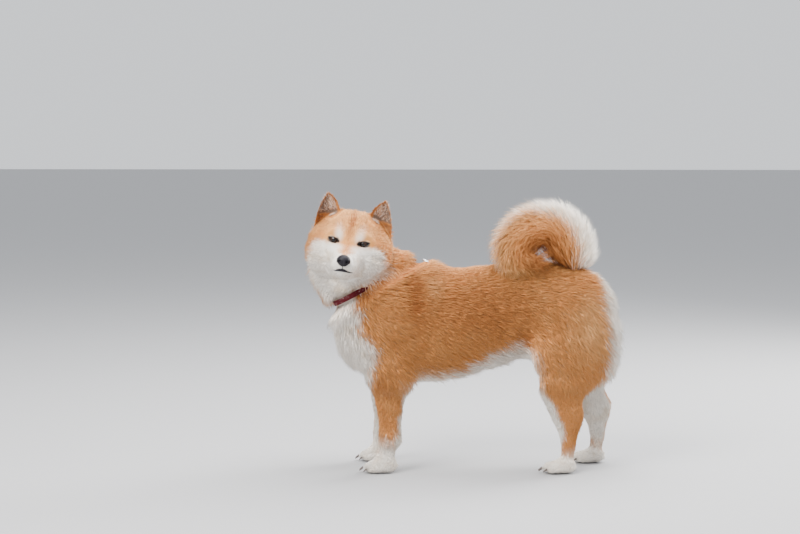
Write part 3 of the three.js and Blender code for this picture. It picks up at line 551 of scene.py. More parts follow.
def tube_object(name, points, ways, radii, sides=8):
    """A closed tube with elliptic rings. Each radius is (across, out) about the given outward way."""
    count = len(points)
    along = unit(np.gradient(points, axis=0))
    across = unit(np.cross(along, ways))
    out = unit(np.cross(across, along))
    radii = np.broadcast_to(np.asarray(radii, float), (count, 2))
    turn = np.linspace(0, 2 * math.pi, sides, endpoint=False)
    rings = points[:, None] + across[:, None] * (np.cos(turn)[None, :, None] * radii[:, 0, None, None])
    rings = rings + out[:, None] * (np.sin(turn)[None, :, None] * radii[:, 1, None, None])
    index = np.arange(count * sides).reshape(count, sides)
    first, second = index[:-1], index[1:]
    quads = np.stack([first, np.roll(first, -1, 1), np.roll(second, -1, 1), second], -1).reshape(-1, 4)
    return close_shell(mesh_object(name, rings.reshape(-1, 3), quads))


# Markings, the coat's depth and its lie. Each takes many places of the frame at once.


class Where:
    """Places in body and head axes, and how far each belongs to the head, neck and legs, from 0 to 1."""

    def __init__(self, place):
        self.body = body_axes(place)
        self.head = head_axes(place)
        self.above_collar = (self.body - COLLAR_PLACE) @ COLLAR_N
        x, _, z = self.body.T
        off = self.head - [0, 40, -20]
        tall = np.where(off[:, 2] > 0, 132.0, 76.0)
        radii = np.stack([np.full(len(off), 82.0), np.full(len(off), 92.0), tall], 1)
        span = np.linalg.norm(off / radii, axis=1)
        self.is_head = (1 - step(0.98, 1.22, span)) * step(2, 20, self.above_collar)
        self.is_neck = step(-16, 8, self.above_collar) * (x < -60) * (1 - self.is_head)
        self.is_fore = step(-40, -80, x) * (1 - step(150, 205, z))
        self.is_hind = step(110, 150, x) * (1 - step(150, 215, z))
        self.is_leg = np.maximum(self.is_fore, self.is_hind)


def ear_place(head):
    """Places from the middle of the ear's base, all brought to one side, and their share of its length."""
    local = np.stack([np.abs(head[:, 0]), head[:, 1], head[:, 2]], 1) - EAR_BASE
    return local, local @ EAR_LINE / (EAR_LINE @ EAR_LINE)


def ear_share(head):
    """1 on an ear, 0 on the rest of the head."""
    local, share = ear_place(head)
    off = np.linalg.norm(local - share[:, None] * EAR_LINE, axis=1)
    return step(-0.12, 0.08, share) * (1 - step(30, 40, off))


def ear_cup(head, normal):
    """1 in the cup of an ear, 0 outside it."""
    local, share = ear_place(head)
    half = 24 * np.clip(1 - share, 0, 1) ** 0.7
    across = np.abs(local[:, 0] - share * EAR_LINE[0])
    forward = normal @ (HEAD_AXES @ [0, -1.0, 0])
    inside = step(1.0, 0.72, across / np.maximum(half, 0.5))
    inside = inside * step(0.0, 0.14, share) * step(0.92, 0.78, share)
    inside *= step(-5, 1, head[:, 1] - 50 + 8 * share)
    return inside * step(-0.15, 0.15, forward) * ear_share(head)


def pale_body(at):
    """The pale share of the coat on the trunk, legs and neck."""
    x, y, z = at.body.T
    uneven = ripple(at.body, 42, 3) * 6 + ripple(at.body, 17, 4) * 3

    # chest and throat, up to a line from the collar to the foreleg, and the belly
    chest = 1 - step(-7, 9, x - read_pairs(CHEST_EDGE, z) + uneven * 0.7)
    belly = 1 - step(-14, 12, z - read_pairs(BELLY_EDGE, x) + uneven + np.abs(y) * 0.05 + 6)
    under = belly * step(-170, -150, x) * (1 - step(118, 150, x))
    # the buttocks, from the tail's root down the back of the thighs, and between the thighs
    inner = np.clip(46 - np.abs(y), -30, 46) * 0.35
    rump = step(-9, 9, x - read_pairs(RUMP_EDGE, z) + inner + uneven * 0.7) * step(110, 190, z)
    between = step(34, 22, np.abs(y)) * step(240, 215, z) * step(100, 140, x)
    pale = np.maximum.reduce([chest * (1 - at.is_neck), under, rump, between])

    # the legs: cream inside, down the back of the forelegs and the front of the hind legs, and on the paws
    fore_inside = step(4, -6, np.abs(y) - FORE_Y + uneven * 0.4)
    fore_back = step(-4, 5, x - read_pairs(FORE_EDGE, z) + uneven * 0.5)
    forepaw = step(82, 38, z + uneven * 1.1)
    fore = np.maximum.reduce([fore_inside, fore_back, forepaw, chest * step(120, 160, z)])
    pale = mixed(pale, fore, at.is_fore)
    hind_inside = step(2, -10, np.abs(y) - HIND_Y + uneven * 0.4)
    hind_edge = read_pairs(HIND_EDGE, z) + np.where(y < 0, 0.0, HIND_STRIDE)
    hind_front = step(4, -4, x - hind_edge + uneven * 0.4)
    hindpaw = step(58, 22, z + uneven * 0.9)
    hind = np.maximum.reduce([hind_inside, hind_front, hindpaw, rump * step(120, 170, z)])
    pale = mixed(pale, hind, at.is_hind)

    # the neck: cream in front of and under the head, red to its sides
    throat = step(14, -14, at.head[:, 0] - 14 + uneven * 0.8 + (at.head[:, 2] + 70) * 0.2)
    throat *= step(80, 50, at.head[:, 1])
    return mixed(pale, np.maximum(throat, chest * step(12, -6, at.above_collar)), at.is_neck)


def pale_face(head, ear):
    """The pale share of the coat on the head."""
    hx, hy, hz = np.abs(head[:, 0]), head[:, 1], head[:, 2]
    wobble = ripple(head, 23, 8) * 3.0
    cheek = step(9, -7, hz - read_pairs(CHEEK_EDGE, hx) + wobble)
    cheek *= step(76, 56, hx + np.maximum(hz + 34, 0) * 0.25 + wobble)
    cheek *= step(88, 66, hy + wobble)
    bridge = step(15, 7, hx + np.maximum(hz + 10, 0) * 0.1) * step(-36, -14, hz) * 0.8
    brow = spot(hx - hz * 0.08, hz, (18, 12), (9, 15), 1.4) * step(60, 40, hy) * 0.8
    lower_lid = spot(hx, hz, (24, -10), (22, 9), 1.3)
    muzzle = step(10, -4, hy + hz * 0.3) * step(-16, -24, hz - hx * 0.35)
    chin = step(-38, -50, hz) * step(70, 50, hy)
    face = np.maximum.reduce([cheek * (1 - bridge), brow * 0.82, lower_lid * 0.9, muzzle, chin])
    # the near side of the ruff is red down to the collar
    face *= 1 - step(14, 40, head[:, 0] + wobble) * step(34, 56, hy)
    return face * (1 - step(0.0, 0.25, ear))


def markings(place):
    """Pale, deep and light shares of the coat's colour."""
    at = Where(place)
    x, y, z = at.body.T
    across, back, up = at.head.T
    ear = near(np.linalg.norm(np.stack([np.abs(across) - 50, back - 50, (up - 48) * 0.6], 1), axis=1), 40)
    pale = mixed(pale_body(at), pale_face(at.head, ear), at.is_head)

    # darker: streak behind the shoulder, saddle, elbow, flank, stripe of the forehead and ears;
    # painted shade in the hollow of the tail's curl and in the crease of the coat over the collar
    streak = spot(x + (z - 330) * 0.12, z, (-97, 325), (19, 78), 1.3) * step(-20, -60, y)
    saddle = spot(x, z, (20, 305), (150, 70), 1.25) * 0.62
    elbow = spot(x, z, (-150, 178), (46, 34), 1.1) * 0.4
    flank = spot(x, z, (105, 250), (26, 44), 1.3) * 0.65
    stripe = spot(across, up, (0, 32), (9, 24), 1.2) * at.is_head * step(76, 50, back)
    ear_back = step(0.05, 0.4, ear) * at.is_head * 0.85
    # painted shade: the coat darkened round the middle of the tail's curl
    curl_shade = near(np.linalg.norm(at.body - TAIL_CURL, axis=1), 30) * 0.9
    # painted shade: a dark band of coat along the crease over the collar
    crease = np.exp(-(((at.above_collar + 4) / 9) ** 2)) * (x < -70) * 0.85
    deep = np.maximum.reduce([streak, saddle, elbow, flank, stripe * 0.95, ear_back * 0.6, curl_shade, crease])
    deep = np.clip(deep + ripple(at.body, 30, 5) * 0.16, 0, 1)

    # lighter: behind the streak, on the haunch, the forehead and the neck
    behind = spot(x, z, (-62, 350), (18, 60), 1.2) * step(-20, -60, y)
    haunch = spot(x, z, (225, 275), (55, 70), 1.3) * 0.85
    forehead = at.is_head * step(-10, 20, up) * 0.55 * (1 - ear_back)
    light = np.maximum.reduce([behind * 0.7, haunch, forehead, at.is_neck * 0.25])
    light = np.clip(light + ripple(at.body, 55, 6) * 0.15, 0, 1)
    return np.clip(pale, 0, 1), deep * (1 - pale), light


def face_depth(head):
    """The coat's depth on the head, least round the eyes and nose and on the ears."""
    hx, hy, hz = np.abs(head[:, 0]), head[:, 1], head[:, 2]
    depth = read_pairs(FACE_DEPTH, hy)
    depth += 3 * step(34, 58, hx) * step(10, -20, hz) * step(20, 45, hy)
    depth -= 2 * step(20, 50, hz) * step(30, 60, hy)
    off_eye = step(12, 30, np.hypot(hx - EYE_PLACE[0], hz))
    depth = np.where(hy < 50, mixed(EYE_DEPTH, depth, off_eye), depth)
    off_nose = step(14, 24, np.linalg.norm(head - NOSE_TIP, axis=1))
    depth = mixed(NOSE_DEPTH, depth, off_nose)
    beside_ear = step(42, 56, hx) * step(-14, 4, hz) * step(28, 40, hy)
    depth = mixed(depth, 2.0, beside_ear)
    return mixed(depth, EAR_DEPTH, ear_share(head))


def coat_depth(place):
    """How far the skin lies under the coat's outline, in millimetres."""
    at = Where(place)
    x, y, z = at.body.T
    depth = np.full(len(x), TRUNK_DEPTH)
    depth += 2 * step(-150, -200, x)
    depth += 7 * step(232, 272, x) * step(170, 220, z)
    depth += 2.0 * step(210, 180, z) * (np.abs(y) < 80)
    depth = mixed(depth, read_pairs(LEG_DEPTH, z), at.is_leg)
    depth = mixed(depth, NECK_DEPTH, at.is_neck)
    # a groove for the collar, deeper where the band shows
    groove = 1.5 + 2.5 * step(-150, -178, x) * step(10, -20, y)
    depth += groove * np.exp(-((at.above_collar / 9) ** 2)) * (x < -60) * (1 - at.is_head)
    depth = mixed(depth, face_depth(at.head), at.is_head)
    return np.maximum(depth, LEAST_DEPTH)


def coat_lie(place, normal):
    """Unit ways along the skin that the hair follows."""
    at = Where(place)
    x, _, z = at.body.T
    lie = np.stack([np.ones(len(x)), 0 * x, -0.28 - 0.25 * step(330, 240, z)], 1)
    chest = step(-140, -200, x)
    shoulder = spot(x, z, (-145, 215), (60, 90), 1.1) * 0.75
    thigh = step(110, 190, x) * step(340, 290, z) * 0.85
    paw = step(34, 18, z)
    for share, way in (
        (chest, [0.25, 0, -1.0]),
        (shoulder, [0.45, 0, -0.9]),
        (thigh, [0.5, 0, -0.86]),
        (at.is_leg, [0.12, 0, -1.0]),
        (paw, [-1.0, 0, -0.5]),
        (at.is_neck, -COLLAR_N + [0.1, 0, -0.35]),
    ):
        lie = mixed(lie, np.array(way), share[:, None])
    # on the head the hair runs back from the nose, and up each ear
    away = unit(at.head - (NOSE_TIP + [0, 14, 0]))
    away[:, 2] -= 0.25 * step(20, 60, np.abs(at.head[:, 0]))
    up_ear = np.tile(unit(EAR_LINE), (len(x), 1))
    up_ear[:, 0] *= np.sign(at.head[:, 0])
    away = mixed(away, up_ear, ear_share(at.head)[:, None])
    lie = mixed(lie, away @ HEAD_AXES.T, at.is_head[:, None])
    return unit(along_skin(lie, normal))


# The skin

TRUNK_VOXEL = 0.0041
HEAD_VOXEL = 0.0012
# How much deeper the trunk lies under the head, and the head under the neck, so that one covers the other
OVERLAP = 5.0

class Web:
    """A mesh's edges, for smoothing places or vectors over it."""

    def __init__(self, obj):
        flat = np.empty(len(obj.data.edges) * 2, np.int64)
        obj.data.edges.foreach_get("vertices", flat)
        self.first, self.second = flat.reshape(-1, 2).T
        self.count = len(obj.data.vertices)
        self.degree = np.bincount(flat, minlength=self.count)

    def spread(self, values, rounds, share=0.5):
        for _ in range(rounds):
            total = [
                np.bincount(self.first, values[self.second, k], self.count)
                + np.bincount(self.second, values[self.first, k], self.count)
                for k in range(values.shape[1])
            ]
            values = values + (np.stack(total, 1) / self.degree[:, None] - values) * share
        return values


def draw_in(obj, even, rounds, extra):
    """Evens a flesh surface, then moves it inward by the coat's depth and an extra, given the head's share."""
    web = Web(obj)
    places = places_of(obj)
    at = Where(places)
    ear = ear_share(at.head)[:, None]
    buttocks = step(215, 235, at.body[:, 0]) * step(120, 150, at.body[:, 2])
    locks = np.maximum(at.is_neck, buttocks)[:, None]
    places = web.spread(places, even, 0.5 * (1 - 0.7 * ear))
    places = web.spread(places, rounds * 2, 0.5 * locks * (1 - at.is_head[:, None]))
    move_to(obj, places)
    inward = -normals_of(obj) * ((coat_depth(places) + extra(at.is_head)) * MM)[:, None]
    inward = web.spread(inward, rounds, 0.5 * (1 - ear))
    move_to(obj, places + inward)


def tail_curve(count):
    """Places, ways along and ways outward on the tail's middle line, in body axes."""
    knots = np.array(TAIL_PATH, float)
    gaps = np.linalg.norm(np.diff(knots, axis=0), axis=1) ** 0.5
    times = np.concatenate([[0], np.cumsum(gaps)])
    fine = np.linspace(0, times[-1], 400)
    slopes = np.gradient(knots, times, axis=0)
    i = np.clip(np.searchsorted(times, fine, "right") - 1, 0, len(gaps) - 1)
    h = gaps[i][:, None]
    t = (fine - times[i])[:, None] / h
    line = (2 * t**3 - 3 * t**2 + 1) * knots[i] + (t**3 - 2 * t**2 + t) * h * slopes[i]
    line += (3 * t**2 - 2 * t**3) * knots[i + 1] + (t**3 - t**2) * h * slopes[i + 1]
    length = run_length(line)
    points = read_rows(np.linspace(0, length[-1], count), length, line)
    along = unit(np.gradient(points, axis=0))
    outward = unit(np.cross([0.0, 1.0, 0.0], along))
    return points, along, outward


def make_tail_core(count=60):
    """The tail's flesh, a tapering tube inside its brush."""
    points, _, outward = tail_curve(count)
    share = np.linspace(0, 1, count)
    radius = (18.5 - 7 * share) * np.sqrt(np.clip((1.0 - share) / 0.06, 0, 1) + 0.02)
    return tube_object("tail_core", from_body(points), outward, (radius[:, None] * [1, 1]) * MM, sides=20)


def add_ruff(trunk):
    """The full round of flesh and wool behind the cheeks, down to the top of the collar."""
    shell = bmesh.new()
    bmesh.ops.create_uvsphere(shell, u_segments=64, v_segments=40, radius=1.0)
    for vert in shell.verts:
        vert.co = from_head(RUFF_MIDDLE + np.array(vert.co) * RUFF_RADII)
    floor = from_body(COLLAR_PLACE + COLLAR_N * 6)
    cut = bmesh.ops.bisect_plane(
        shell, geom=shell.verts[:] + shell.edges[:] + shell.faces[:], plane_co=floor, plane_no=COLLAR_N,
        clear_inner=True,
    )
    rim = [e for e in cut["geom_cut"] if isinstance(e, bmesh.types.BMEdge)]
    bmesh.ops.contextual_create(shell, geom=rim)
    bmesh.ops.recalc_face_normals(shell, faces=shell.faces)
    join(trunk, shell_object("ruff", shell))


def make_trunk():
    """The flesh of everything but the ears and tail."""
    trunk = joined_copy("trunk", [n for n in FLESH if not n.startswith(("ear", "tail"))])
    add_ruff(trunk)
    modified(trunk, "REMESH", mode="VOXEL", voxel_size=TRUNK_VOXEL)
    draw_in(trunk, 9, 16, lambda is_head: OVERLAP * is_head)
    return modified(trunk, "SMOOTH", factor=0.5, iterations=3)


def make_skull():
    """The head and ears at a finer grain, with a ball behind each eye's opening."""
    skull = joined_copy("skull", ["head", "ear_left", "ear_right"])
    for side in (-1, 1):
        bpy.ops.object.select_all(action="DESELECT")
        bpy.ops.mesh.primitive_uv_sphere_add(
            segments=32, ring_count=20, radius=(EYE_RADIUS - 0.7) * MM,
            location=Vector(from_head(EYE_PLACE * [side, 1, 1])),
        )
        join(skull, bpy.context.object)
    modified(skull, "REMESH", mode="VOXEL", voxel_size=HEAD_VOXEL)
    draw_in(skull, 4, 6, lambda is_head: OVERLAP * (1 - is_head))
    return modified(skull, "DECIMATE", ratio=0.5)


class SHIBA_OT_skin(bpy.types.Operator):
    """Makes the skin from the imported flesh, drawn in by the depth of the coat"""

    bl_idname = "shiba.skin"
    bl_label = "Skin"

    def execute(self, context):
        skin = make_trunk()
        for part in (make_skull(), make_tail_core()):
            modified(skin, "BOOLEAN", operation="UNION", solver="MANIFOLD", object=part)
            bpy.data.objects.remove(part)
        skin.name = "skin"
        skin.data.name = "skin"
        keep_largest(skin)
        smooth(skin)
        unwrap(skin)
        places = places_of(skin)
        for key, values in zip(("pale", "deep", "light"), markings(places)):
            attribute(skin, key, values)
        head = head_axes(places)
        attribute(skin, "ear_inside", ear_cup(head, normals_of(skin)))
        opening = np.hypot((np.abs(head[:, 0]) - EYE_PLACE[0] - 0.6) / 12.4, (head[:, 2] - 0.4) / 6.0)
        attribute(skin, "eye_rim", step(1.05, 0.85, opening) * (head[:, 1] < 24))
        finish_piece(skin, skin_paint(context.scene.shiba_coat), FLESH)
        return {"FINISHED"}


def keep_largest(obj):
    """Drops loose scraps."""
    shell = bmesh.new()
    shell.from_mesh(obj.data)
    seen = set()
    best = []
    for start in shell.verts:
        if start in seen:
            continue
        group = [start]
        seen.add(start)
        for vert in group:
            for edge in vert.link_edges:
                other = edge.other_vert(vert)
                if other not in seen:
                    seen.add(other)
                    group.append(other)
        if len(group) > len(best):
            best = group
    kept = set(best)
    bmesh.ops.delete(shell, geom=[v for v in shell.verts if v not in kept], context="VERTS")
    bmesh.ops.triangulate(shell, faces=shell.faces)
    shell.to_mesh(obj.data)
    shell.free()


def unwrap(obj):
    """Unwraps the skin by its own shape, for the coat's patches."""
    obj.data.uv_layers.new(name="OFBake")
    alone(obj)
    bpy.ops.object.mode_set(mode="EDIT")
    bpy.ops.mesh.select_all(action="SELECT")
    bpy.ops.uv.smart_project(angle_limit=math.radians(70), island_margin=0.002)
    bpy.ops.object.mode_set(mode="OBJECT")


def tinted(colour, factor):
    return tuple(c * factor for c in colour)


def coat_colour(paint, coat, along=None, chance=None):
    """The coat's colour from its markings, for skin and tufts. Tufts also vary along them and by chance."""
    patch = paint.noise(38, 3.0, 0.6)
    red = paint.mix(coat.red, coat.light, paint.attribute("light") * 0.75 + (patch - 0.5) * 0.5)
    worn_cream = tuple(c * f for c, f in zip(coat.cream, (0.82, 0.74, 0.64)))
    cream = paint.mix(coat.cream, worn_cream, patch.above(0.45, 0.8))
    if along is not None:
        red = paint.mix(red, coat.light, along.above(0.5, 1.0) * 0.30)
        red = paint.mix(red, coat.cream, (1 - along.above(0.0, 0.4)) * 0.25)
    red = paint.mix(red, coat.deep, paint.attribute("deep") * 0.95 + (0.5 - patch) * 0.3)
    whole = paint.mix(red, cream, paint.attribute("pale"))
    if chance is not None:
        whole = paint.scale(whole, 0.91 + chance * 0.18)
    return whole


def skin_paint(coat):
    paint = Paint("skin", Roughness=0.8, Specular_IOR_Level=0.2)
    grain = paint.noise(900, 2.0, 0.6)
    ear_skin = paint.mix((0.11, 0.075, 0.055), (0.20, 0.135, 0.10), grain)
    # the coat's colour and markings, darkened as painted shade under the hair
    base = paint.scale(coat_colour(paint, coat), 0.78)
    base = paint.mix(base, ear_skin, paint.attribute("ear_inside"))
    paint.colour(paint.mix(base, (0.010, 0.008, 0.008), paint.attribute("eye_rim")))
    paint.bump(grain, 0.0006, 0.6)
    return paint.material


# The coat

ROOT_SINK = 0.0008
# Half a tuft's patch on the unwrap across it, and the whole patch along it
PATCH_SIZE = (0.0012, 0.0026)
TRUNK_LIFT = math.radians(27)
# How wide a tuft is at a length, in millimetres, apart from the trunk's, which is a setting
SHORT_WIDTHS = ((3, 0.75), (6, 0.85), (12, 1.05))
LONGEST_WIDTH = (40, 1.6)
BRUSH_REACH = 24
BRUSH_DENSITY = 0.43


def grow(name, roots, normals, lies, uvs, shape, marks, rng, segments=2):
    """A mesh of closed, tapering tufts with three sides.

    shape holds each tuft's length, width and lift from the skin, ease, the share of the lift that is left
    at its tip, swing, how far its way strays, and tug, how far its tip is drawn aside.
    """
    count = len(roots)
    across = unit(np.cross(lies, normals))
    swing = rng.normal(0, shape.get("swing", 0.16), count)
    lie = lies * np.cos(swing)[:, None] + across * np.sin(swing)[:, None]
    across = unit(np.cross(lie, normals))
    lift = shape["lift"] * rng.uniform(0.75, 1.25, count)
    length = shape["length"] * rng.uniform(0.78, 1.2, count)
    width = shape["width"] * rng.uniform(0.7, 1.3, count)
    shares = np.linspace(0, 1, segments + 1)
    spine = [roots - normals * (ROOT_SINK + 0.25 * width[:, None])]
    for low, high in zip(shares[:-1], shares[1:]):
        bend = lift * (1 - (1 - shape["ease"]) * (low + high) / 2 * 1.3)
        way = lie * np.cos(bend)[:, None] + normals * np.sin(bend)[:, None]
        spine.append(spine[-1] + way * (length * (high - low))[:, None])
    if "tug" in shape:
        spine = [place + shape["tug"] * (share**1.6) for place, share in zip(spine, shares)]
    curl = across * (rng.normal(0, 0.10, count) * length)[:, None]
    spine = [place + curl * share * share for place, share in zip(spine, shares)]
    taper = np.interp(shares, [0, 0.35, 1], [0.85, 1.0, 0.0])
    rings = []
    for place, thin in zip(spine[:-1], taper):
        half = (width * thin / 2)[:, None]
        rings += [place + across * half, place + normals * half * 1.1, place - across * half]
    points = np.stack(rings + [spine[-1]], 1)
    points[..., 2] = np.maximum(points[..., 2], FLOOR_GAP)
    corners = points.shape[1]
    pattern = [(0, 1, 2)]
    for i in range(segments - 1):
        for j in range(3):
            a, b = i * 3 + j, i * 3 + (j + 1) % 3
            pattern += [(a, a + 3, b), (b, a + 3, b + 3)]
    last = (segments - 1) * 3
    pattern += [(last + j, corners - 1, last + (j + 1) % 3) for j in range(3)]
    faces = (np.arange(count) * corners)[:, None, None] + np.array(pattern)[None]
    obj = mesh_object(name, points.reshape(-1, 3), faces.reshape(-1, 3))
    level = np.concatenate([np.repeat(shares[:-1], 3), [1.0]])
    attribute(obj, "along", np.tile(level, count))
    attribute(obj, "chance", np.repeat(rng.uniform(0, 1, count), corners))
    for key, values in marks.items():
        attribute(obj, key, np.repeat(values, corners))
    # a patch for each tuft, at its root's place on the skin's unwrap
    cross = np.append(np.tile([-1, 0, 1], segments), 0)
    local = np.stack([cross * PATCH_SIZE[0], (level - 0.5) * PATCH_SIZE[1]], 1)
    corner_uv = (uvs[:, None] + local[None]).reshape(-1, 2)
    layer = obj.data.uv_layers.new(name="OFBake")
    layer.uv.foreach_set("vector", np.ascontiguousarray(corner_uv[faces.reshape(-1)], np.float32).ravel())
    return obj


class SkinField:
    """The skin's triangles, for drawing roots from."""

    def __init__(self, skin):
        self.places = places_of(skin)
        self.normals = normals_of(skin)
        self.corners, loops = triangles_of(skin)
        uv = np.empty(len(skin.data.loops) * 2)
        skin.data.uv_layers["OFBake"].uv.foreach_get("vector", uv)
        self.uv = uv.reshape(-1, 2)[loops]
        a, b, c = (self.places[self.corners[:, k]] for k in range(3))
        self.area = np.linalg.norm(np.cross(b - a, c - a), axis=1) / 2 / MM**2
        self.middle = (a + b + c) / 3
        self.facing = unit(np.cross(b - a, c - a))

    def draw(self, density, rng):
        """Roots spread by a density, in tufts per square millimetre, for each triangle."""
        wanted = self.area * density
        number = np.floor(wanted + rng.uniform(0, 1, len(wanted))).astype(int)
        which = np.repeat(np.arange(len(number)), number)
        r1, r2 = np.sqrt(rng.uniform(0, 1, len(which))), rng.uniform(0, 1, len(which))
        share = np.stack([1 - r1, r1 * (1 - r2), r1 * r2], 1)[:, :, None]
        roots = np.sum(self.places[self.corners[which]] * share, 1)
        normals = unit(np.sum(self.normals[self.corners[which]] * share, 1))
        return roots, normals, np.sum(self.uv[which] * share, 1)


def clump_tug(roots, normals, length, crowd, strength, rng):
    """Draws the tips of neighbouring tufts together toward the middle of their clump, crowd tufts in each."""
    clumps = max(8, int(len(roots) / max(crowd, 1)))
    chosen = rng.choice(len(roots), min(clumps, len(roots)), replace=False)
    tree = tree_of(roots[chosen])
    index = np.array([chosen[tree.find(root)[1]] for root in roots])
    toward = along_skin(roots[index] - roots, normals)
    far = np.linalg.norm(toward, axis=1, keepdims=True)
    most = length[:, None] * 0.5
    return toward * np.minimum(1, most / np.maximum(far, 1e-9)) * strength


def tail_distance(body):
    points, _, _ = tail_curve(40)
    tree = tree_of(points)
    return np.array([tree.find(place)[2] for place in body])


def coat_regions(field):
    """The triangles of each coat piece, with the tufts per square millimetre there."""
    at = Where(field.middle)
    x, y, z = at.body.T
    ears = ear_share(at.head) > 0.5
    tail = (tail_distance(at.body) < BRUSH_REACH) & (z > 372) & (x > 60)
    head_side = (at.is_head > 0.5) & ~tail
    face = head_side & (at.head[:, 1] < 38) & ~ears
    legs = (at.is_leg > 0.5) & ~head_side & ~tail
    paws = legs & (z < 48)
    neck = (at.is_neck > 0.5) & ~head_side & ~tail
    rest = ~(head_side | legs | neck | tail)
    chest = rest & (x < -20)
    rump = rest & (x >= 110)
    return {
        "ears": (ears & head_side & (ear_cup(at.head, field.facing) < 0.4), 0.62),
        "face": (face, 0.50),
        "cheeks": (head_side & ~face & ~ears, 0.33),
        "neck": (neck, 0.25),
        "chest_left": (chest & (y < 0), 0.20),
        "chest_right": (chest & (y >= 0), 0.20),
        "flanks": (rest & (x >= -20) & (x < 110), 0.20),
        "rump_left": (rump & (y < 0), 0.20),
        "rump_right": (rump & (y >= 0), 0.20),
        "forelegs": (legs & ~paws & (x < 0), 0.32),
        "hindlegs": (legs & ~paws & (x >= 0), 0.32),
        "paws": (paws & (z > 3.5), 0.40),
    }


def bare(roots):
    """Where no hair grows: the nose, eye openings, lips and under the band where it shows."""
    at = Where(roots)
    hx, hy, hz = np.abs(at.head[:, 0]), at.head[:, 1], at.head[:, 2]
    eye = (np.hypot((hx - EYE_PLACE[0]) / 11.5, (hz - 0.3) / 7.2) < 1) & (hy < 30)
    nose = np.linalg.norm((at.head - NOSE_MIDDLE) / NOSE_RADII, axis=1) < 1
    gap = np.abs(hz - np.interp(hx, MOUTH[::-1, 0], MOUTH[::-1, 2]))
    lips = (gap < np.interp(hx, [0, 12, 20], [3.4, 2.6, 1.0])) & (hx < 20) & (hy < -16)
    band = (np.abs(at.above_collar) < 5.0) & (at.body[:, 0] < -186) & (at.body[:, 1] < -5)
    return eye | nose | lips | band


class SHIBA_OT_coat(bpy.types.Operator):
    """Grows the coat of tufts over the skin"""

    bl_idname = "shiba.coat"
    bl_label = "Coat"

    def execute(self, context):
        coat = context.scene.shiba_coat
        rng = np.random.default_rng(coat.seed)
        field = SkinField(bpy.data.objects["skin"])
        paint = coat_paint(coat)
        for name, (chosen, density) in coat_regions(field).items():
            roots, normals, uvs = field.draw(np.where(chosen, density * coat.fullness, 0.0), rng)
            kept = ~bare(roots)
            if not kept.any():
                raise RuntimeError(f"no roots for the coat of the {name}")
            obj = grow_region(name, roots[kept], normals[kept], uvs[kept], coat, rng)
            finish_piece(obj, paint)
        finish_piece(grow_tail(coat, rng, field), paint)
        finish_piece(grow_ear_hair(coat, rng, field), paint)
        return {"FINISHED"}


def grow_region(name, roots, normals, uvs, coat, rng):
    """The tufts of one region, as long as the coat is deep there."""
    at = Where(roots)
    x, y, z = at.body.T
    lies = coat_lie(roots, normals)
    depth = coat_depth(roots)
    lift = np.full(len(roots), TRUNK_LIFT)
    lift += math.radians(5) * at.is_neck + math.radians(6) * step(240, 275, x) * step(170, 220, z)
    lift -= math.radians(3) * at.is_leg
    length = depth / (0.45 * np.sin(lift) + 0.35 * np.sin(lift * 0.5)) * 1.02
    length = np.clip(length, 2.6, 36)
    width = read_pairs((*SHORT_WIDTHS, (25, coat.thickness / MM), LONGEST_WIDTH), length)
    # where the band shows, the hair over it is short
    shows = step(-10, -40, y) * step(-186, -202, x) * step(34, 20, at.above_collar) * (at.above_collar > 0)
    length = mixed(length, np.minimum(length, np.maximum(at.above_collar - 4, 3)), shows)
    crowd = np.interp(length.mean(), [4, 10, 28], [5, 9, 16])
    strength = np.interp(length.mean(), [4, 28], [0.2, 0.32])
    tug = clump_tug(roots, normals, length * MM, crowd, strength, rng)
    shape = {"lift": lift, "ease": 0.45, "length": length * MM, "width": width * MM, "tug": tug}
    # each tuft takes its colour from a place a little off its root, so that edges feather
    feather = (1.6 + 2.6 * step(3, 9, depth)) * MM
    shares = markings(roots + rng.normal(0, 1, roots.shape) * feather[:, None])
    marks = dict(zip(("pale", "deep", "light"), shares))
    return grow(f"coat_{name}", roots, normals, lies, uvs, shape, marks, rng)


def grow_tail(coat, rng, field):
    """The tail's brush: hair that stands out all round, longest along the inner side of the curl."""
    body = body_axes(field.middle)
    chosen = (tail_distance(body) < BRUSH_REACH) & (body[:, 2] > 366) & (body[:, 0] > 60)
    roots, normals, uvs = field.draw(np.where(chosen, BRUSH_DENSITY * coat.fullness, 0.0), rng)
    points, along, outward = tail_curve(200)
    tree = tree_of(points)
    index = np.array([tree.find(place)[1] for place in body_axes(roots)])
    share = index / (len(points) - 1)
    lies = unit(along_skin(along[index], normals))
    outer = np.sum(normals * outward[index], 1)
    length = 68 - 28 * step(-0.8, 0.2, outer) - 8 * step(0.9, 1.0, share)
    lift = np.radians(72 - 16 * step(-0.8, 0.3, outer))
    tug = clump_tug(roots, normals, length * MM, 12, 0.3, rng)
    width = np.full(len(roots), 1.25)
    shape = {"lift": lift, "ease": 0.5, "length": length * MM, "width": width * MM, "tug": tug, "swing": 0.2}
    # cream on the curl's outer side, ever less toward the tip, and red inside
    edge = np.interp(share, [0, 0.25, 0.42, 0.56, 1.0], [0.25, 0.35, 0.55, 1.0, 1.4])
    pale = step(-0.5, 0.3, outer - edge + rng.normal(0, 0.12, len(roots)))
    deep = step(0.0, -0.9, outer) * 0.9
    light = step(-0.5, 0.6, outer) * 0.6
    marks = {"pale": pale, "deep": deep * (1 - pale), "light": light}
    return grow("coat_tail", roots, normals, lies, uvs, shape, marks, rng, segments=3)


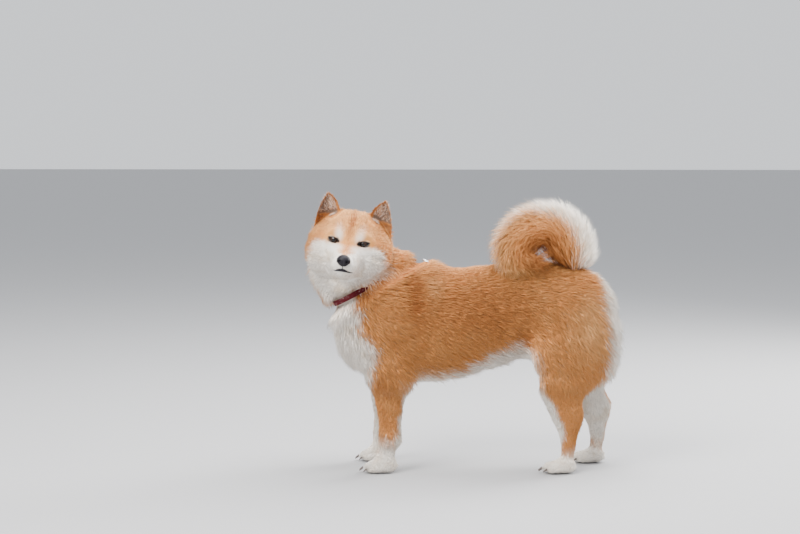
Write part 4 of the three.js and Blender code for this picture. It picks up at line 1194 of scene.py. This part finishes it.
def grow_ear_hair(coat, rng, field):
    """Pale hair that crosses the cup of each ear from its inner edge."""
    head = head_axes(field.middle)
    chosen = ear_cup(head, field.facing) > 0.5
    inner = np.abs(head[:, 0]) < EAR_BASE[0] - 4
    roots, normals, uvs = field.draw(np.where(chosen, np.where(inner, 0.4, 0.1) * coat.fullness, 0.0), rng)
    count = len(roots)
    side = np.sign(head_axes(roots)[:, 0])
    way = np.stack([side * 0.55, np.full(count, -0.3), np.full(count, 0.75)], 1) @ HEAD_AXES.T
    lies = unit(along_skin(way, normals))
    shape = {
        "lift": np.full(count, math.radians(24)), "ease": 0.3, "length": np.full(count, 11.0) * MM,
        "width": np.full(count, 0.9 * MM), "swing": 0.3,
    }
    marks = {"pale": rng.uniform(0.1, 0.6, count), "deep": np.full(count, 0.6), "light": np.full(count, 0.2)}
    return grow("coat_ear_hair", roots, normals, lies, uvs, shape, marks, rng)


def coat_paint(coat):
    paint = Paint("coat", Roughness=0.62, Specular_IOR_Level=0.28)
    along = paint.attribute("along")
    whole = coat_colour(paint, coat, along, paint.attribute("chance"))
    root_shade = 0.72 + along.above(0.0, 0.45) * 0.28
    paint.colour(paint.scale(whole, root_shade))
    strand = paint.noise(2600, 1.0, 0.5)
    paint.roughness(0.5 + strand * 0.3)
    paint.bump(strand, 0.0003, 0.5)
    return paint.material


# The face


def lid_outline(side, count=56):
    """The lids' opening as an even, rounded loop: wider at its outer end and slanting up and out."""
    turned = LID_KNOTS @ np.array(
        [[math.cos(LID_SLANT), math.sin(LID_SLANT)], [-math.sin(LID_SLANT), math.cos(LID_SLANT)]]
    )
    looped = np.concatenate([turned, turned[:1]])
    far = run_length(looped)
    line = read_rows(np.linspace(0, far[-1], count, endpoint=False), far, looped)
    for _ in range(3):
        line = (np.roll(line, 1, 0) + 2 * line + np.roll(line, -1, 0)) / 4
    return line * [side, 1]


def on_eye(outline, side, radius):
    """Places on a ball round the eye, in head axes, in front of an outline."""
    reach = np.linalg.norm(outline, axis=1, keepdims=True)
    flat = outline * np.minimum(1, radius * 0.98 / np.maximum(reach, 1e-9))
    forward = np.sqrt(np.maximum(radius**2 - (flat[:, 0] * 0.84) ** 2 - flat[:, 1] ** 2, 0.05))
    centre = EYE_PLACE * [side, 1, 1]
    return centre + np.stack([flat[:, 0], -forward, flat[:, 1]], 1)


class SHIBA_OT_eyes(bpy.types.Operator):
    """Makes the eyes, with their corneas, and the dark rims of the lids"""

    bl_idname = "shiba.eyes"
    bl_label = "Eyes"

    def execute(self, context):
        face = context.scene.shiba_face
        irises = eye_paint(face)
        rims = lid_paint(face, context.scene.shiba_coat)
        for label, side in SIDES.items():
            finish_piece(make_eye(label, side), irises, [f"eye_{label}"])
            finish_piece(make_lids(label, side, face.rim / MM), rims)
        return {"FINISHED"}


def make_eye(label, side):
    """An eyeball whose poles face forward and back, with the clear cornea a little proud of it."""
    bpy.ops.object.select_all(action="DESELECT")
    bpy.ops.mesh.primitive_uv_sphere_add(segments=48, ring_count=32, radius=EYE_RADIUS * MM)
    eye = bpy.context.object
    eye.name = f"eye_{label}_ball"
    alone(eye)
    bpy.ops.object.mode_set(mode="EDIT")
    bpy.ops.mesh.select_all(action="SELECT")
    bpy.ops.transform.rotate(value=math.pi / 2, orient_axis="X", center_override=(0, 0, 0))
    bpy.ops.object.mode_set(mode="OBJECT")
    local = places_of(eye)
    reach = np.hypot(local[:, 0], local[:, 2]) / MM
    local[:, 1] -= 0.7 * near(reach, 8.5) * (local[:, 1] < 0) * MM
    turned = local @ np.array(GAZE).T @ HEAD_AXES.T
    move_to(eye, turned + from_head(EYE_PLACE * [side, 1, 1]))
    attribute(eye, "off_axis", reach + 20 * (local[:, 1] > 0))
    smooth(eye)
    return eye


def make_lids(label, side, rim):
    """The lids: a rounded dark rim on the ball, and a skirt that runs out under the hair."""
    outline = lid_outline(side)
    count = len(outline)
    # each ring's distance beyond the opening, its radius about the eye's middle, and how dark it is
    rings = (
        (-0.5, EYE_RADIUS - 0.4, 1.0),
        (-0.35, EYE_RADIUS + rim * 0.6, 1.0),
        (0.1, EYE_RADIUS + rim * 1.15, 1.0),
        (1.0, EYE_RADIUS + rim * 1.35, 1.0),
        (2.2, EYE_RADIUS + rim * 1.45, 0.8),
        (3.8, EYE_RADIUS + rim * 1.3, 0.15),
        (6.0, EYE_RADIUS + 0.9, 0.0),
        (6.5, EYE_RADIUS - 1.2, 0.0),
    )
    away = outline - outline.mean(0)
    away = away / np.linalg.norm(away, axis=1, keepdims=True)
    points = np.concatenate([on_eye(outline + away * off, side, radius) for off, radius, _ in rings])
    obj = mesh_object(f"lids_{label}", from_head(points), ring_quads(len(rings), count))
    attribute(obj, "dark", np.repeat([dark for _, _, dark in rings], count))
    return close_shell(obj)


def eye_paint(face):
    paint = Paint("eye", Roughness=0.06, Coat_Weight=0.3, Coat_Roughness=0.02, Specular_IOR_Level=0.2)
    off = paint.attribute("off_axis")
    fibre = paint.noise(1400, 2.0, 0.6)
    iris = paint.mix(face.iris, tinted(face.iris, 2.2), fibre.above(0.35, 0.8))
    # the pupil inside the iris, its dark edge, and the white that hardly shows
    iris = paint.mix((0.004, 0.003, 0.003), iris, off.above(3.0, 3.8))
    iris = paint.mix(iris, (0.008, 0.005, 0.004), off.above(6.6, 7.8))
    paint.colour(paint.mix(iris, (0.03, 0.02, 0.018), off.above(8.6, 9.6)))
    return paint.material


def lid_paint(face, coat):
    paint = Paint("lids", Roughness=0.35)
    crease = paint.noise(1500, 3.0, 0.6)
    dark = paint.attribute("dark") + (crease - 0.5) * 0.3
    paint.colour(paint.mix(tinted(coat.light, 0.8), face.leather, dark))
    paint.roughness(0.34 + crease * 0.25)
    paint.bump(crease, 0.0003, 0.6)
    return paint.material


class SHIBA_OT_nose(bpy.types.Operator):
    """Makes the nose pad, the lips and the groove between them"""

    bl_idname = "shiba.nose"
    bl_label = "Nose and Lips"

    def execute(self, context):
        paint = leather_paint(context.scene.shiba_face)
        finish_piece(make_nose_pad(), paint, ["nose"])
        tree = surface_tree(bpy.data.objects["skin"])
        finish_piece(make_lips(tree), paint)
        finish_piece(make_philtrum(tree), paint)
        return {"FINISHED"}


def make_nose_pad():
    """The nose, with the shallow groove down its middle and the comma of each nostril's outer wing."""
    nose = joined_copy("nose_pad", ["nose"])
    modified(nose, "REMESH", mode="VOXEL", voxel_size=0.00055)
    modified(nose, "SMOOTH", factor=0.5, iterations=6)
    x, y, z = head_axes(places_of(nose)).T
    groove = 1.1 * np.exp(-((x / 1.3) ** 2)) * step(-22, -30, z) * step(-50, -56, y)
    wing = 0.8 * np.exp(-(((np.abs(x) - 9.5) / 1.6) ** 2)) * step(-30, -34, z)
    move_to(nose, places_of(nose) - normals_of(nose) * ((groove + wing * 0.6) * MM)[:, None])
    modified(nose, "SMOOTH", factor=0.4, iterations=2)
    x, y, z = head_axes(places_of(nose)).T
    # each nostril is painted near black round its middle, as painted shade inside it
    shaded_nostril = np.linalg.norm(np.stack([np.abs(x), y, z], 1) - NOSTRIL, axis=1)
    attribute(nose, "shaded_nostril", near(shaded_nostril, 4.2))
    smooth(nose)
    return nose


def on_skin(tree, place):
    """The skin's place and way out, on a ray that leaves the muzzle's middle toward a place in head axes."""
    start = place * [0.35, 1, 0.5] + [0, 34, -19]
    ray = HEAD_AXES @ unit(place - start)
    far = Vector(from_head(start) + ray * 0.12)
    found, normal, _, _ = tree.ray_cast(far, Vector(-ray))
    if found is None:
        raise RuntimeError("the muzzle's surface wasn't found")
    return np.array(found), np.array(normal)


def make_lips(tree, count=60):
    """The dark line of the mouth, thickest in front and drooping to its corners."""
    left = [on_skin(tree, place) for place in MOUTH]
    right = [on_skin(tree, place * [-1, 1, 1]) for place in MOUTH[:-1]]
    knots, ways = (np.array(rows) for rows in zip(*(left + right[::-1])))
    times = np.arange(len(knots))
    even = np.linspace(0, times[-1], count)
    line = read_rows(even, times, knots)
    out = unit(read_rows(even, times, ways))
    for _ in range(10):
        line[1:-1] = (line[:-2] + 2 * line[1:-1] + line[2:]) / 4
    arch = np.sin(np.linspace(0, math.pi, count))
    radii = np.stack([0.35 + 2.9 * arch**1.3, 0.4 + 1.4 * arch**0.8], 1) * MM
    return tube_object("lips", line + out * 1.1 * MM, out, radii, sides=12)


def make_philtrum(tree):
    """The dark groove from the nose down to the lips, as a thin dark tube: partly its dark skin, partly
    painted shade in the groove.
    """
    points, ways = (np.array(rows) for rows in zip(*(on_skin(tree, place) for place in PHILTRUM)))
    return tube_object("philtrum", points, unit(ways), np.array([[0.7, 0.9]] * len(points)) * MM)


def leather_paint(face):
    paint = Paint("nose_leather", Roughness=0.32, Specular_IOR_Level=0.14)
    place = paint.node("ShaderNodeTexCoord").outputs["Object"]
    pebble = Value(paint, paint.node("ShaderNodeTexVoronoi", Vector=place, Scale=950.0).outputs["Distance"])
    tone = paint.mix(face.leather, tinted(face.leather, 2.0), pebble.above(0.1, 0.6))
    # painted shade: the nostrils near black
    shaded_nostril = paint.attribute("shaded_nostril")
    paint.colour(paint.mix(tone, (0.001, 0.001, 0.001), shaded_nostril))
    paint.roughness(0.3 + pebble * 0.2 + shaded_nostril * 0.4)
    paint.bump(1 - pebble, 0.0003, 0.5)
    return paint.material


# The collar


class SHIBA_OT_collar(bpy.types.Operator):
    """Makes the collar's woven band, its keeper and its ring"""

    bl_idname = "shiba.collar"
    bl_label = "Collar"

    def execute(self, context):
        settings = context.scene.shiba_collar
        webbing = webbing_paint(settings)
        finish_piece(make_band(settings.width / 2), webbing, ["collar"])
        finish_piece(make_keeper(), webbing, ["collar_keeper"])
        finish_piece(make_ring(), steel_paint(), ["collar_ring"])
        return {"FINISHED"}


def make_band(half, count=220):
    """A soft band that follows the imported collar, with rounded edges and a stitched line near each."""
    packed = joined_copy("packed_band", ["collar"])
    tree = surface_tree(packed)
    bpy.data.objects.remove(packed)
    turn = np.linspace(0, 2 * math.pi, count, endpoint=False)
    ways = np.cos(turn)[:, None] * COLLAR_U + np.sin(turn)[:, None] * COLLAR_V
    middle = from_body(COLLAR_PLACE)
    reach = []
    for way in ways:
        hit, _, _, _ = tree.ray_cast(Vector(middle + way * 0.3), Vector(-way))
        if hit is None:
            raise RuntimeError("the packed collar wasn't found")
        reach.append((np.array(hit) - middle) @ way)
    reach = np.array(reach)
    for _ in range(14):
        reach = (np.roll(reach, 1) + 2 * reach + np.roll(reach, -1)) / 4
    # it sinks into the hair except low on the near side of the throat, where it shows
    line = body_axes(middle + ways * reach[:, None])
    shows = step(-10, -40, line[:, 1]) * step(-182, -200, line[:, 0])
    reach = reach - (1 - shows) * BAND_SINK
    # the cross section as (up the neck, out from it), over the outer face and back along the inner one
    profile = (
        (-half, -BAND_THICKNESS * 0.75),
        (-half * 0.96, -BAND_THICKNESS * 0.25),
        (-half * 0.86, 0.0),
        (-half * 0.74, -0.0002),
        (0, 0.0001),
        (half * 0.74, -0.0002),
        (half * 0.86, 0.0),
        (half * 0.96, -BAND_THICKNESS * 0.25),
        (half, -BAND_THICKNESS * 0.75),
        (half * 0.9, -BAND_THICKNESS),
        (-half * 0.9, -BAND_THICKNESS),
    )
    points = np.concatenate([middle + ways * (reach + out)[:, None] + COLLAR_N * up for up, out in profile])
    obj = mesh_object("collar_band", points, ring_quads(len(profile), count))
    attribute(obj, "round", np.tile(run_length(points[:count]), len(profile)))
    attribute(obj, "cross", np.repeat([up for up, _ in profile], count))
    return close_shell(obj)


def make_keeper():
    """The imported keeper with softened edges, sunk into the hair with the band."""
    keeper = joined_copy("keeper", ["collar_keeper"])
    places = places_of(keeper)
    move_to(keeper, places - unit(places.mean(0) - from_body(COLLAR_PLACE)) * BAND_SINK)
    modified(keeper, "BEVEL", width=0.0003, segments=2)
    alone(keeper)
    bpy.ops.object.shade_smooth_by_angle(angle=math.radians(40))
    return keeper


def make_ring():
    """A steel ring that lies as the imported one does, sunk a little deeper than the band."""
    packed = joined_copy("packed_ring", ["collar_ring"])
    places = places_of(packed)
    bpy.data.objects.remove(packed)
    middle = places.mean(0)
    _, _, axes = np.linalg.svd(places - middle, full_matrices=False)
    reach = np.linalg.norm((places - middle) @ axes[:2].T, axis=1)
    middle = middle - unit(middle - from_body(COLLAR_PLACE)) * (BAND_SINK + 0.003)
    bpy.ops.object.select_all(action="DESELECT")
    bpy.ops.mesh.primitive_torus_add(
        major_segments=64, minor_segments=16, major_radius=(reach.max() + reach.min()) / 2,
        minor_radius=(reach.max() - reach.min()) / 2,
    )
    ring = bpy.context.object
    ring.name = "steel_ring"
    axes[2] = np.cross(axes[0], axes[1])
    move_to(ring, places_of(ring) @ axes + middle)
    smooth(ring)
    return ring


def webbing_paint(settings):
    paint = Paint("webbing", Roughness=0.85, Specular_IOR_Level=0.2)
    around = paint.attribute("round")
    cross = paint.attribute("cross")
    flat = paint.node("ShaderNodeCombineXYZ", X=around, Y=cross).outputs[0]

    def pattern(kind, output, settings=(), **sockets):
        return Value(paint, paint.node(kind, settings, Vector=flat, **sockets).outputs[output])

    spots = pattern("ShaderNodeTexVoronoi", "Distance", Scale=260.0)
    curls = pattern("ShaderNodeTexNoise", "Fac", Scale=330.0, Detail=1.0, Distortion=2.2)
    warp = pattern("ShaderNodeTexWave", "Fac", {"bands_direction": "X"}, Scale=520.0)
    weft = pattern("ShaderNodeTexWave", "Fac", {"bands_direction": "Y"}, Scale=520.0)
    figure = (1 - spots.above(0.20, 0.26)) * curls.above(0.50, 0.58)
    tone = paint.mix(settings.webbing, settings.figure, figure)
    paint.colour(paint.scale(tone, 0.7 + warp * weft * 0.45))
    paint.bump(warp * weft, 0.0003, 0.8)
    return paint.material


def steel_paint():
    paint = Paint("steel", Metallic=1.0, Roughness=0.22)
    wear = paint.noise(700, 3.0, 0.6)
    paint.colour(paint.mix((0.55, 0.55, 0.57), (0.72, 0.72, 0.74), wear))
    paint.roughness(0.16 + wear * 0.2)
    return paint.material


# Claws


class SHIBA_OT_claws(bpy.types.Operator):
    """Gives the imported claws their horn"""

    bl_idname = "shiba.claws"
    bl_label = "Claws"

    def execute(self, context):
        horn = horn_paint()
        for name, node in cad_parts.items():
            if name.startswith("claw_"):
                for slot in node.material_slots:
                    slot.material = horn
        return {"FINISHED"}


def horn_paint():
    paint = Paint("horn", Roughness=0.45)
    streak = paint.noise(900, 3.0, 0.6, (0.3, 1, 1))
    paint.colour(paint.mix((0.045, 0.032, 0.028), (0.16, 0.12, 0.10), streak.above(0.35, 0.75)))
    paint.roughness(0.34 + streak * 0.25)
    paint.bump(streak, 0.0002, 0.6)
    return paint.material


# The stage

CAMERA_PLACE = np.array([0.0, -3500.0, 660.0])
CAMERA_HEADING = math.radians(-1.85)
CAMERA_PITCH = math.radians(4.69)
FOCAL_PIXELS = 1905.0
IMAGE_WIDTH = 800.0
SENSOR_WIDTH = 36.0
SKY_COLOUR = (0.93, 0.96, 1.0, 1.0)
SKY_STRENGTH = 1.1
# Each lamp's name, place, size across, share of the main light's power, and colour
LAMPS = (
    ("key", (-1.3, -1.9, 2.3), 1.8, 1.0, (1.0, 0.97, 0.93)),
    ("top", (0.3, 0.4, 2.4), 2.2, 0.75, (1.0, 1.0, 1.0)),
    ("rim", (1.6, 1.3, 1.3), 1.2, 0.45, (1.0, 0.99, 0.96)),
)


def lay_floor(colour):
    bpy.ops.object.select_all(action="DESELECT")
    bpy.ops.mesh.primitive_plane_add(size=24, location=(0, 6, 0))
    floor = bpy.context.object
    floor.name = "floor"
    alone(floor)
    bpy.ops.object.transform_apply(location=True)
    paint = Paint("floor", Roughness=0.7)
    paint.colour(paint.mix(tinted(colour, 0.97), colour, paint.noise(60, 4.0, 0.6)))
    floor.data.materials.append(paint.material)


def hang_lamps(scene, power):
    target = Vector(from_body([0, 0, 260]))
    for name, place, size, share, tint in LAMPS:
        lamp = bpy.data.lights.new(name, "AREA")
        lamp.shape = "DISK"
        lamp.size = size
        lamp.energy = power * share
        lamp.color = tint
        holder = bpy.data.objects.new(name, lamp)
        holder.location = place
        holder.rotation_euler = (target - Vector(place)).to_track_quat("-Z", "Y").to_euler()
        scene.collection.objects.link(holder)


def set_camera(scene):
    """A camera at the photograph's viewpoint, aimed by its heading and its pitch below the level."""
    lens = bpy.data.cameras.new("camera")
    lens.sensor_width = SENSOR_WIDTH
    lens.lens = SENSOR_WIDTH * FOCAL_PIXELS / IMAGE_WIDTH
    camera = bpy.data.objects.new("camera", lens)
    right = Vector((math.cos(CAMERA_HEADING), -math.sin(CAMERA_HEADING), 0))
    forward = Vector((
        math.sin(CAMERA_HEADING) * math.cos(CAMERA_PITCH),
        math.cos(CAMERA_HEADING) * math.cos(CAMERA_PITCH),
        -math.sin(CAMERA_PITCH),
    ))
    turn = Matrix((right, right.cross(forward), -forward)).transposed().to_4x4()
    camera.matrix_world = Matrix.Translation(from_body(CAMERA_PLACE)) @ turn
    scene.collection.objects.link(camera)
    scene.camera = camera


class SHIBA_OT_stage(bpy.types.Operator):
    """Sets the floor, the soft lights and the camera"""

    bl_idname = "shiba.stage"
    bl_label = "Stage"

    def execute(self, context):
        scene = context.scene
        settings = scene.shiba_stage
        lay_floor(settings.floor)
        world = bpy.data.worlds.new("studio")
        world.use_nodes = True
        sky = world.node_tree.nodes["Background"]
        sky.inputs["Color"].default_value = SKY_COLOUR
        sky.inputs["Strength"].default_value = SKY_STRENGTH
        scene.world = world
        hang_lamps(scene, settings.light)
        set_camera(scene)
        return {"FINISHED"}


class SHIBA_PT_model(bpy.types.Panel):
    """Lists the steps of the model"""

    bl_idname = "SHIBA_PT_model"
    bl_label = "Shiba Inu"
    bl_space_type = "VIEW_3D"
    bl_region_type = "UI"
    bl_category = "Shiba Inu"

    def draw(self, context):
        scene = context.scene
        for settings, steps in (
            (scene.shiba_coat, (SHIBA_OT_skin, SHIBA_OT_coat)),
            (scene.shiba_face, (SHIBA_OT_eyes, SHIBA_OT_nose)),
            (scene.shiba_collar, (SHIBA_OT_collar, SHIBA_OT_claws)),
            (scene.shiba_stage, (SHIBA_OT_stage,)),
        ):
            box = self.layout.box()
            for key in settings.__annotations__:
                box.prop(settings, key)
            for one in steps:
                box.operator(one.bl_idname)


CLASSES = (
    CoatSettings, FaceSettings, CollarSettings, StageSettings, SHIBA_OT_skin, SHIBA_OT_coat, SHIBA_OT_eyes,
    SHIBA_OT_nose, SHIBA_OT_collar, SHIBA_OT_claws, SHIBA_OT_stage, SHIBA_PT_model,
)


def register():
    for one in CLASSES:
        bpy.utils.register_class(one)
    bpy.types.Scene.shiba_coat = PointerProperty(type=CoatSettings)
    bpy.types.Scene.shiba_face = PointerProperty(type=FaceSettings)
    bpy.types.Scene.shiba_collar = PointerProperty(type=CollarSettings)
    bpy.types.Scene.shiba_stage = PointerProperty(type=StageSettings)


def unregister():
    for name in ("shiba_coat", "shiba_face", "shiba_collar", "shiba_stage"):
        delattr(bpy.types.Scene, name)
    for one in reversed(CLASSES):
        bpy.utils.unregister_class(one)


def main():
    register()
    bpy.ops.shiba.stage()
    bpy.ops.shiba.skin()
    bpy.ops.shiba.eyes()
    bpy.ops.shiba.nose()
    bpy.ops.shiba.collar()
    bpy.ops.shiba.claws()
    bpy.ops.shiba.coat()


if __name__ == "__main__":
    main()
